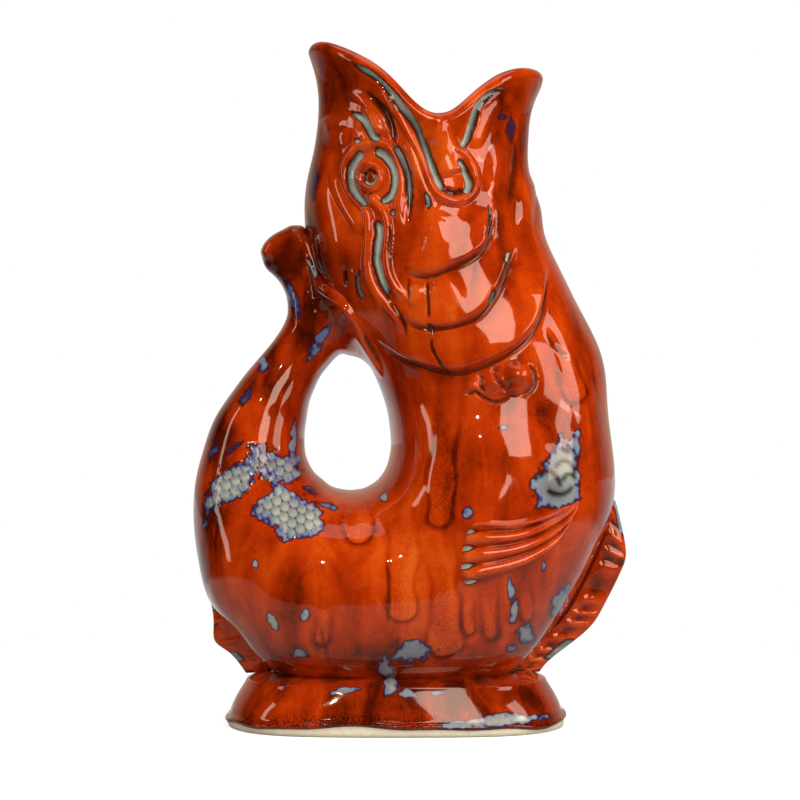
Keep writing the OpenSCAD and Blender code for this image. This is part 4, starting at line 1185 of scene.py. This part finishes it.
# Glaze pools in a dimple between the rays, just short of the tip
dimple = hump(fin_u, 0.945, 0.042) * np.maximum(0, 0.66 - rib)
lift -= DIMPLE_DEPTH * dimple
fin_pool = np.clip(2.4 * dimple, 0, 1) + 0.672 * np.clip(0.42 - rib, 0, 1) * rib_strength
lay_sprig("side_fin", fin_points, lift, {
    "pool": fin_pool, "thin": (2.4 * rib - 1.7) * rib_strength,
    "grit": 0.5 * smooth(fin_v * 2 - 0.8) * rib_strength,
}, disc=False)

# %% Eyes
EYE_RINGS, EYE_COLUMNS = 60, 96
EYE_HALF = np.array([14.6, 17.6])
# As shares of the eye's radius: the pupil's edge, the middle of the hollow, and the ring's crest
PUPIL, EYE_HOLLOW, EYE_RIM = 0.34, 0.40, 0.70
PUPIL_RISE, RING_RISE, EYE_EDGE_DIP = 0.9, 1.9, 2.6
HOLLOW_POOL, CRESCENT_POOL, PUPIL_POOL = 0.40, 0.62, 0.30

rho = np.linspace(0, 1, EYE_RINGS)[:, None]
eye_turn = np.linspace(0, 2 * np.pi, EYE_COLUMNS, endpoint=False)
eye_pixels = EYE + rho[..., None] * EYE_HALF * np.stack([np.cos(eye_turn), np.sin(eye_turn)], -1)
eye_points = skin_points(eye_pixels, ROW["lip"], ROW["neck"])
radius = np.repeat(rho, EYE_COLUMNS, axis=1)
pupil = np.sqrt(np.maximum(1 - (radius / PUPIL) ** 2, 0))
ring_swell = rope_profile(radius - EYE_RIM, 0.34) ** 0.7
lift = 0.1 + PUPIL_RISE * pupil + RING_RISE * ring_swell - EYE_EDGE_DIP * smooth((radius - 0.88) / 0.12)
hollow = rope_profile(radius - EYE_HOLLOW, 0.16)
crescent = hollow * smooth(0.4 + 1.2 * np.sin(eye_turn + 0.5))
eye_pool = np.clip(HOLLOW_POOL * hollow + CRESCENT_POOL * crescent + PUPIL_POOL * pupil, 0, 1)
lay_sprig("eye", eye_points, lift, {"pool": eye_pool, "thin": ring_swell * 0.6}, disc=True)

# %% [markdown]
# ## Fins in the middle plane
# The front fin runs like a keel down the belly's pouring side, and a short one answers it low on
# the back. Each is a bar of clay between an inner and an outer edge: thick and smooth where it
# leaves the belly, then pinched into ribs.

# %% The keel fins
# Edges as shares of the jug's width and height
FRONT_IN = np.array([
    [0.462, 0.340], [0.442, 0.290], [0.410, 0.243], [0.360, 0.182], [0.320, 0.149], [0.262, 0.106],
    [0.236, 0.078],
])
FRONT_OUT = np.array([
    [0.477, 0.328], [0.500, 0.263], [0.491, 0.226], [0.451, 0.175], [0.409, 0.137], [0.335, 0.100],
    [0.300, 0.076],
])
BACK_IN = np.array([[-0.445, 0.186], [-0.410, 0.157], [-0.376, 0.134], [-0.344, 0.108], [-0.312, 0.078]])
BACK_OUT = np.array([[-0.464, 0.185], [-0.456, 0.150], [-0.453, 0.122], [-0.418, 0.104], [-0.380, 0.074]])
KEEL_ROWS, KEEL_COLUMNS = 181, 72
KEEL_ROOT = 5.0
GROOVE_POOL, EDGE_POOL, ROOT_POOL = 0.44, 0.85, 0.42


def keel(name, inner_edge, outer_edge, half, ribs, strength):
    """A closed bar: loops round the fin's section, stacked along it, and shrunk at both ends. Its
    ribs are a cosine along it, at a pitch that two sines make uneven."""
    u = np.linspace(0, 1, KEEL_ROWS)
    near, far = (along(edge, u) * [JUG_WIDTH, JUG_HEIGHT] for edge in (inner_edge, outer_edge))
    near = near - unit(far - near) * KEEL_ROOT
    turn = np.linspace(0, 2 * np.pi, KEEL_COLUMNS, endpoint=False)
    out = ((1 - np.cos(turn)) / 2)[None]
    end = np.sqrt(np.clip(1 - np.abs(2 * u - 1) ** 8, 0, 1))[:, None]
    turns = ribs * u + 0.22 * np.sin(9.0 * u) + 0.15 * np.sin(23.0 * u)
    rib = (0.5 + 0.5 * np.cos(2 * np.pi * turns))[:, None]
    on_rib = smooth((out - 0.42) * 4) * rib * strength
    plane = mix(near[:, None], far[:, None], (out * 0.995)[..., None])
    thick = half * np.sin(turn) * mix(1.0, 0.62, smooth((out - 0.35) * 2)) * (0.74 + 0.34 * on_rib) * end
    points = np.stack([plane[..., 0], thick, plane[..., 1]], axis=-1)
    points[0], points[-1] = points[0].mean(0), points[-1].mean(0)
    numbers = np.arange(thick.size).reshape(thick.shape)
    numbers[0], numbers[-1] = numbers[0, 0], numbers[-1, 0]
    # Glaze pools in the grooves, in broken places along the edge, and in a line along the root
    groove = smooth((out - 0.5) * 5) * (1 - rib) * smooth(2.2 * (1 - out)) * strength
    broken = smooth(1.5 * np.sin(17 * u + 0.6) * np.sin(9 * u + 1.0))[:, None]
    edge_pool = smooth((out - 0.72) * 5) * broken
    root_line = rope_profile(out - 0.40, 0.07) * end
    pool = np.maximum.reduce([GROOVE_POOL * groove, EDGE_POOL * edge_pool, ROOT_POOL * root_line])
    points, tris = points.reshape(-1, 3), triangles_between(numbers)
    if (facing(points, tris)[:, 1] * points[tris].mean(1)[:, 1]).sum() < 0:
        tris = tris[:, ::-1]
    make_piece(name, points, tris, {
        "pool": pool, "blue": np.full(pool.shape, 0.6), "thin": on_rib - 2.0 * groove,
    })


keel("front_fin", FRONT_IN, FRONT_OUT, 4.6, 11, 1.0)
keel("back_fin", BACK_IN, BACK_OUT, 4.2, 4, 0.45)

# %% [markdown]
# ## Which construction nodes each piece stands for
# The ropes, folds and covers of the construction model are part of the skin here, so head and
# chest answer for them.

# %% Replace the construction nodes
def both_sides(*names):
    """Each name with left and with right before it."""
    return [side + name for name in names for side in ("left_", "right_")]


STANDS_FOR = {
    "head": ["head"] + both_sides("eye_ring", "brow", "cheek_fold", "mouth_corner"),
    "chest": ["chest"] + both_sides("gill_fold", "gill_cover", "small_fin"),
}
for name, piece in pieces.items():
    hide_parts(*STANDS_FOR.get(name, [name]))
print("pieces:", len(pieces))

# %% [markdown]
# ## Glaze
# A reactive orange glaze: iron and titanium separate as it melts. Where it is thin over a ridge it
# breaks bright orange; where it runs it streaks dark red; where it pools it crystallises to a
# matt blue grey with a purple rim. One material reads how deep the glaze lies from each point's
# own value, breaks that value up with noise so no border is clean, and looks up the colour.

# %% Node helper and colours
def linear(hex_colour):
    """An sRGB hex colour as linear RGBA."""
    value = np.array([int(hex_colour[k:k + 2], 16) for k in (1, 3, 5)]) / 255
    value = np.where(value <= 0.04045, value / 12.92, ((value + 0.055) / 1.055) ** 2.4)
    return (*value.tolist(), 1.0)


def add(tree, kind, inputs=(), output=0, stops=(), **settings):
    """Add a shader node, set its own settings, and set or link its inputs, in order or by name. A
    ramp's stops are place, hex colour and alpha. One output is given back, by number or name."""
    node = tree.nodes.new("ShaderNode" + kind)
    for label, value in settings.items():
        setattr(node, label, value)
    named = inputs if isinstance(inputs, dict) else dict(enumerate(inputs))
    for label, value in named.items():
        if isinstance(value, bpy.types.NodeSocket):
            tree.links.new(value, node.inputs[label])
        else:
            node.inputs[label].default_value = value
    # A new ramp has two stops, so only the others are added
    for _ in stops[2:]:
        node.color_ramp.elements.new(0.5)
    for k, (place, colour, alpha) in enumerate(stops):
        node.color_ramp.elements[k].position = place
        node.color_ramp.elements[k].color = linear(colour)[:3] + (alpha,)
    return node.outputs[output] if len(node.outputs) else None


print("orange in linear light:", np.round(linear("#D24A12")[:3], 3))

# %% Glaze and clay
# Each grain of the glaze: how far apart it lies in millimetres, its detail, roughness and twist.
# The specks are finer than half a millimetre on the jug and are drawn coarser, so that they show.
GRAINS = {
    "streaks": (12.5, 4, 0.5, 0.9), "broad": (41.7, 3, 0.5, 0.3), "breakup": (3.03, 5, 0.62, 0.4),
    "mottle": (5.88, 3, 0.55, 0.8), "specks": (0.588, 2, 0.5, 0.0), "clay": (1.43, 4, 0.6, 0.0),
}
RUN_STRETCH = 0.26
# The tone's start, and how much the streaks add; then where and how far it darkens to the rim
TONE_START, STREAK_SHARE = 0.13, 0.8
DARK_FROM, DARK_TO, RIM_DARKER = 0.17, 0.245, -0.07
# Colours by tone, by a pool's depth, and by how bare the clay is: place, colour, and how much covers
ORANGES = (
    (0.12, "#3A0E04", 1), (0.28, "#661602", 1), (0.40, "#A02A02", 1), (0.52, "#C43604", 1),
    (0.66, "#DE4808", 1), (0.84, "#F0641C", 1),
)
GREY_POOL = (
    (0.12, "#7A2204", 0), (0.30, "#5A1804", 0.80), (0.46, "#341810", 1), (0.58, "#565450", 1),
    (0.72, "#84897F", 1), (0.88, "#A9AA9A", 1), (1.0, "#C8C6B2", 1),
)
VIOLET_POOL = (
    (0.12, "#7A2204", 1), (0.30, "#5A1612", 1), (0.40, "#3A1A30", 1), (0.50, "#3C3658", 1),
    (0.58, "#5A6492", 1), (0.70, "#858CA0", 1), (0.86, "#A3A296", 1), (1.0, "#BDB9A6", 1),
)
CLAY = ((0.3, "#F2E2BC", 1), (0.7, "#FFF4DA", 1))
SCORCHED_EDGE = ((0.0, "#000000", 0), (0.10, "#5A1E08", 0), (0.35, "#6A2A10", 0.9), (0.6, "#8A5230", 1))
GLAZE_IOR, COAT_IOR = 1.7, 1.5
GLOSS, FOOT_GLOSS, COAT_GLOSS = 0.06, 0.07, 0.03
POOL_ROUGHNESS, CLAY_ROUGHNESS = 0.14, 0.8


def grain(label, place):
    """What a noise node takes for one of the grains: its scale is one over how far apart it lies."""
    apart, detail, roughness, twist = GRAINS[label]
    return {
        "Vector": place, "Scale": 1 / (apart * MM), "Detail": detail, "Roughness": roughness,
        "Distortion": twist,
    }


def make_glaze(name, bare_clay=False, bright=0.0):
    """Poured orange reactive glaze, fired to a hard gloss. The eye gets depth from the streaks
    under the shine, and warmth from the thin edges."""
    material = bpy.data.materials.new(name)
    material.use_nodes = True
    tree = material.node_tree
    tree.nodes.clear()
    place = add(tree, "TexCoord", output="Object")
    runs = add(tree, "Mapping", {"Vector": place, "Scale": (1, 1, RUN_STRETCH)})
    streaks, broad, breakup, mottle, specks = (
        add(tree, "TexNoise", grain(label, runs if label == "streaks" else place))
        for label in ("streaks", "broad", "breakup", "mottle", "specks")
    )
    pool, blue, thin, grit = (
        add(tree, "Attribute", output="Fac", attribute_name=label)
        for label in ("pool", "blue", "thin", "grit")
    )
    # The tone: streaks, and each other value's distance from its middle times an amount. Thin brings
    # the glaze's thin and thick places and also the painted shade and painted light.
    peppered = add(tree, "Math", (grit, 0.20), operation="ADD")
    tone = add(tree, "Math", (streaks, STREAK_SHARE, bright + TONE_START), operation="MULTIPLY_ADD")
    for value, middle, amount in (
        (broad, 0.5, 0.42), (mottle, 0.5, 0.26), (specks, 0.5, peppered), (thin, 0.0, 0.075),
    ):
        apart = add(tree, "Math", (value, middle), operation="SUBTRACT")
        tone = add(tree, "Math", (apart, amount, tone), operation="MULTIPLY_ADD")
    # Near the rim the glaze is a little darker
    height = add(tree, "SeparateXYZ", (place,), "Z")
    falling = add(tree, "MapRange", {
        "Value": height, "From Min": DARK_FROM, "From Max": DARK_TO, "To Max": RIM_DARKER,
    })
    tone = add(tree, "Math", (tone, falling), operation="ADD")
    orange = add(tree, "ValToRGB", (tone,), stops=ORANGES)
    # The pool's depth, broken up by two grains, and more so where it turns violet
    depth = pool
    for value, least in ((breakup, 0.08), (mottle, 0.0)):
        amount = add(tree, "Math", (blue, 0.20, least), operation="MULTIPLY_ADD")
        apart = add(tree, "Math", (value, 0.5), operation="SUBTRACT")
        depth = add(tree, "Math", (apart, amount, depth), operation="MULTIPLY_ADD")
    grey = add(tree, "ValToRGB", (depth,), stops=GREY_POOL)
    violet = add(tree, "ValToRGB", (depth,), stops=VIOLET_POOL)
    pooled = add(tree, "Mix", {0: blue, 6: grey, 7: violet}, 2, data_type="RGBA")
    colour = add(tree, "Mix", {0: grey.node.outputs["Alpha"], 6: orange, 7: pooled}, 2, data_type="RGBA")
    rough = add(tree, "MapRange", {
        "Value": depth, "From Min": 0.5, "From Max": 0.9, "To Min": GLOSS, "To Max": POOL_ROUGHNESS,
    })
    swell = add(tree, "Bump", {"Strength": 0.16, "Distance": 0.6 * MM, "Height": streaks})
    skin_texture = add(tree, "Bump", {
        "Strength": 0.12, "Distance": 0.15 * MM, "Height": breakup, "Normal": swell,
    })
    coat = 1.0
    if bare_clay:
        bare_here = add(tree, "Attribute", output="Fac", attribute_name="bare")
        clay = add(tree, "ValToRGB", (add(tree, "TexNoise", grain("clay", place)),), stops=CLAY)
        edge = add(tree, "ValToRGB", (bare_here,), stops=SCORCHED_EDGE)
        colour = add(tree, "Mix", {0: edge.node.outputs["Alpha"], 6: colour, 7: edge}, 2, data_type="RGBA")
        wiped, rough, coat = (
            add(tree, "MapRange", {
                "Value": bare_here, "From Min": 0.45, "From Max": 0.75, "To Min": glazed, "To Max": on_clay,
            })
            for glazed, on_clay in ((0.0, 1.0), (FOOT_GLOSS, CLAY_ROUGHNESS), (1.0, 0.0))
        )
        colour = add(tree, "Mix", {0: wiped, 6: colour, 7: clay}, 2, data_type="RGBA")
    surface = add(tree, "BsdfPrincipled", {
        "Base Color": colour, "Roughness": rough, "IOR": GLAZE_IOR, "Specular Tint": linear("#FFC08E"),
        "Normal": skin_texture, "Coat Weight": coat, "Coat Roughness": COAT_GLOSS, "Coat IOR": COAT_IOR,
    })
    add(tree, "OutputMaterial", {"Surface": surface})
    return material


GLAZES = {
    # Thick and streaked, it makes the body look wet and deep
    "glaze": make_glaze("poured orange reactive glaze"),
    # Matt cream clay under a scorched edge shows how far down the glaze ran
    "foot_glaze": make_glaze("orange glaze with a wiped clay rim", bare_clay=True),
    # Drawn thin by the sharp turn, it outlines the mouth
    "rim_glaze": make_glaze("thin bright glaze on the rim", bright=0.03),
    # Painted lighter all over, a painted light that lifts the fins off the body; the glaze also breaks
    # brightest over the ribs
    "fin_glaze": make_glaze("broken glaze on the fins with painted light", bright=0.08),
    # Painted a little darker, a painted shade that makes the eye look deep
    "eye_glaze": make_glaze("pooled glaze in the eye with painted shade", bright=-0.04),
}
SLOT_OF = {
    "foot": "foot_glaze", "mouth_lip": "rim_glaze", "tail_fin": "fin_glaze", "front_fin": "fin_glaze",
    "back_fin": "fin_glaze", "left_side_fin": "fin_glaze", "right_side_fin": "fin_glaze",
    "left_eye": "eye_glaze", "right_eye": "eye_glaze",
}
for name, piece in pieces.items():
    slot = SLOT_OF.get(name, "glaze")
    piece.data.materials.append(GLAZES[slot])
print("materials:", [material.name for material in GLAZES.values()])

# %% [markdown]
# ## Lights
# A large softbox stands high in front on the right and lights the gill covers and the belly. Two
# smaller ones far to the right, low and high, light the lips. A narrow strip on the left draws the
# line down the tail, a tiny bulb leaves hard glints, and a broad lamp overhead fills the rim.

# %% Lights
MIDDLE, HEAD_MIDDLE = (0.0, 0.0, 0.12), (0.0, 0.0, 0.19)


def soft_light(name, place, target, width, height, power):
    """A rectangular area light that faces a target."""
    data = bpy.data.lights.new(name, "AREA")
    data.shape = "RECTANGLE"
    data.size, data.size_y, data.energy = width, height, power
    light = bpy.data.objects.new(name, data)
    light.location = place
    aim = np.array(target) - np.array(place)
    flat = np.hypot(aim[0], aim[1])
    light.rotation_euler = (np.pi / 2 + np.arctan2(aim[2], flat), 0, np.arctan2(aim[1], aim[0]) - np.pi / 2)
    bpy.context.scene.collection.objects.link(light)


soft_light("right softbox", (0.31, -1.04, 0.79), MIDDLE, 0.47, 0.76, 3.7)
soft_light("low right softbox", (0.95, -0.50, 0.37), HEAD_MIDDLE, 0.64, 0.38, 1.75)
soft_light("high right softbox", (0.95, -0.26, 0.66), HEAD_MIDDLE, 0.34, 0.40, 1.0)
soft_light("bare bulb", (-0.40, -1.0, 0.9), MIDDLE, 0.03, 0.03, 0.4)
soft_light("left strip", (-1.00, -0.10, 0.42), MIDDLE, 0.12, 0.70, 0.55)
soft_light("top fill", (0.0, 0.15, 1.2), MIDDLE, 0.9, 0.9, 1.6)
print("lights:", [light.name for light in bpy.data.lights])

# %% [markdown]
# ## Floor
# A flat sheet of matt white card carries the shadow and throws a soft veil up onto the belly. A
# little way off it fades into the white behind it, so no edge shows. The glaze mirrors it grey,
# darker at a distance and glowing behind the jug, as a table under a lamp would look.

# %% Floor
FLOOR_REACH = 6.0
# How far from the jug, in metres, the card fades out for the camera and turns black in the mirror
CLEARS, DARKENS = (0.12, 0.34), (0.26, 0.36)
CARD, MIRRORED_CARD, BLACK = linear("#F4F4F2"), linear("#8C8C8A"), (0, 0, 0, 1)

floor_mesh = bpy.data.meshes.new("floor")
corners = [(x * FLOOR_REACH, y * FLOOR_REACH, 0) for x, y in ((-1, -1), (1, -1), (1, 1), (-1, 1))]
floor_mesh.from_pydata(corners, [], [(0, 1, 2, 3)])
floor = bpy.data.objects.new("floor", floor_mesh)
# Matt, so it gives the eye a shadow but no mirror image
floor_material = bpy.data.materials.new("matt white studio sweep")
floor_material.use_nodes = True
card = floor_material.node_tree
card.nodes.clear()
rays = add(card, "LightPath").node.outputs
seen, mirrored = rays["Is Camera Ray"], rays["Is Glossy Ray"]
spot = add(card, "TexCoord", output="Object")
distance = add(card, "VectorMath", (spot,), "Value", operation="LENGTH")
clear_share, dark_share = (
    add(
        card, "MapRange", {"Value": distance, "From Min": near, "From Max": far},
        interpolation_type="SMOOTHSTEP",
    )
    for near, far in (CLEARS, DARKENS)
)
gone = add(card, "Math", (seen, clear_share), operation="MULTIPLY")
darker = add(card, "Mix", {0: dark_share, 6: MIRRORED_CARD, 7: BLACK}, 2, data_type="RGBA")
unseen = add(card, "Mix", {0: mirrored, 6: MIRRORED_CARD, 7: darker}, 2, data_type="RGBA")
dim = add(card, "Mix", {0: seen, 6: unseen, 7: CARD}, 2, data_type="RGBA")
matt = add(card, "BsdfDiffuse", {"Color": dim})
toward = add(card, "VectorMath", (spot,), operation="NORMALIZE")
rear = add(card, "MapRange", {
    "Value": add(card, "SeparateXYZ", (toward,), "Y"), "From Min": 0.45, "From Max": 0.95, "To Max": 0.5,
})
own_light = add(card, "Math", (seen, 0.60), operation="MULTIPLY")
lit = add(card, "Math", (mirrored, rear, own_light), operation="MULTIPLY_ADD")
glow = add(card, "Emission", {"Color": (1, 1, 1, 1), "Strength": lit})
both = add(card, "AddShader", (matt, glow))
faded = add(card, "MixShader", (gone, both, add(card, "BsdfTransparent")))
add(card, "OutputMaterial", {"Surface": faded})
floor_mesh.materials.append(floor_material)
bpy.context.scene.collection.objects.link(floor)
floor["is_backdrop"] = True
print("the floor reaches", FLOOR_REACH, "m to each side")

# %% [markdown]
# ## World
# The camera sees a white room. The jug is lit by a dim one that brightens towards the softbox. The
# shiny glaze mirrors a warm white, and only behind the jug, which gives the outline its pale edge.

# %% World
BRIGHT_SIDE = (0.42, -0.87, 0.25)

world = bpy.data.worlds.new("white studio")
bpy.context.scene.world = world
world.use_nodes = True
sky = world.node_tree
sky.nodes.clear()
rays = add(sky, "LightPath").node.outputs
seen, mirrored = rays["Is Camera Ray"], rays["Is Glossy Ray"]
direction = add(sky, "TexCoord", output="Generated")
to_back = add(sky, "SeparateXYZ", (direction,), "Y")
to_front = add(sky, "VectorMath", (direction, BRIGHT_SIDE), "Value", operation="DOT_PRODUCT")
behind = add(sky, "MapRange", {"Value": to_back, "From Min": 0.55, "From Max": 0.98, "To Max": 0.48})
before = add(sky, "MapRange", {
    "Value": to_front, "From Min": -0.3, "From Max": 0.9, "To Min": 0.22, "To Max": 1.18,
})
ambient = add(sky, "Mix", {0: mirrored, 2: before, 3: behind})
level = add(sky, "Math", (ambient, seen), operation="MAXIMUM")
tint = add(sky, "Mix", {0: mirrored, 6: (1, 1, 1, 1), 7: linear("#FFD8C2")}, 2, data_type="RGBA")
background = add(sky, "Background", {"Color": tint, "Strength": level})
add(sky, "OutputWorld", {"Surface": background})
bpy.context.scene.view_settings.view_transform = "Standard"
print("the brightest side of the room:", BRIGHT_SIDE)
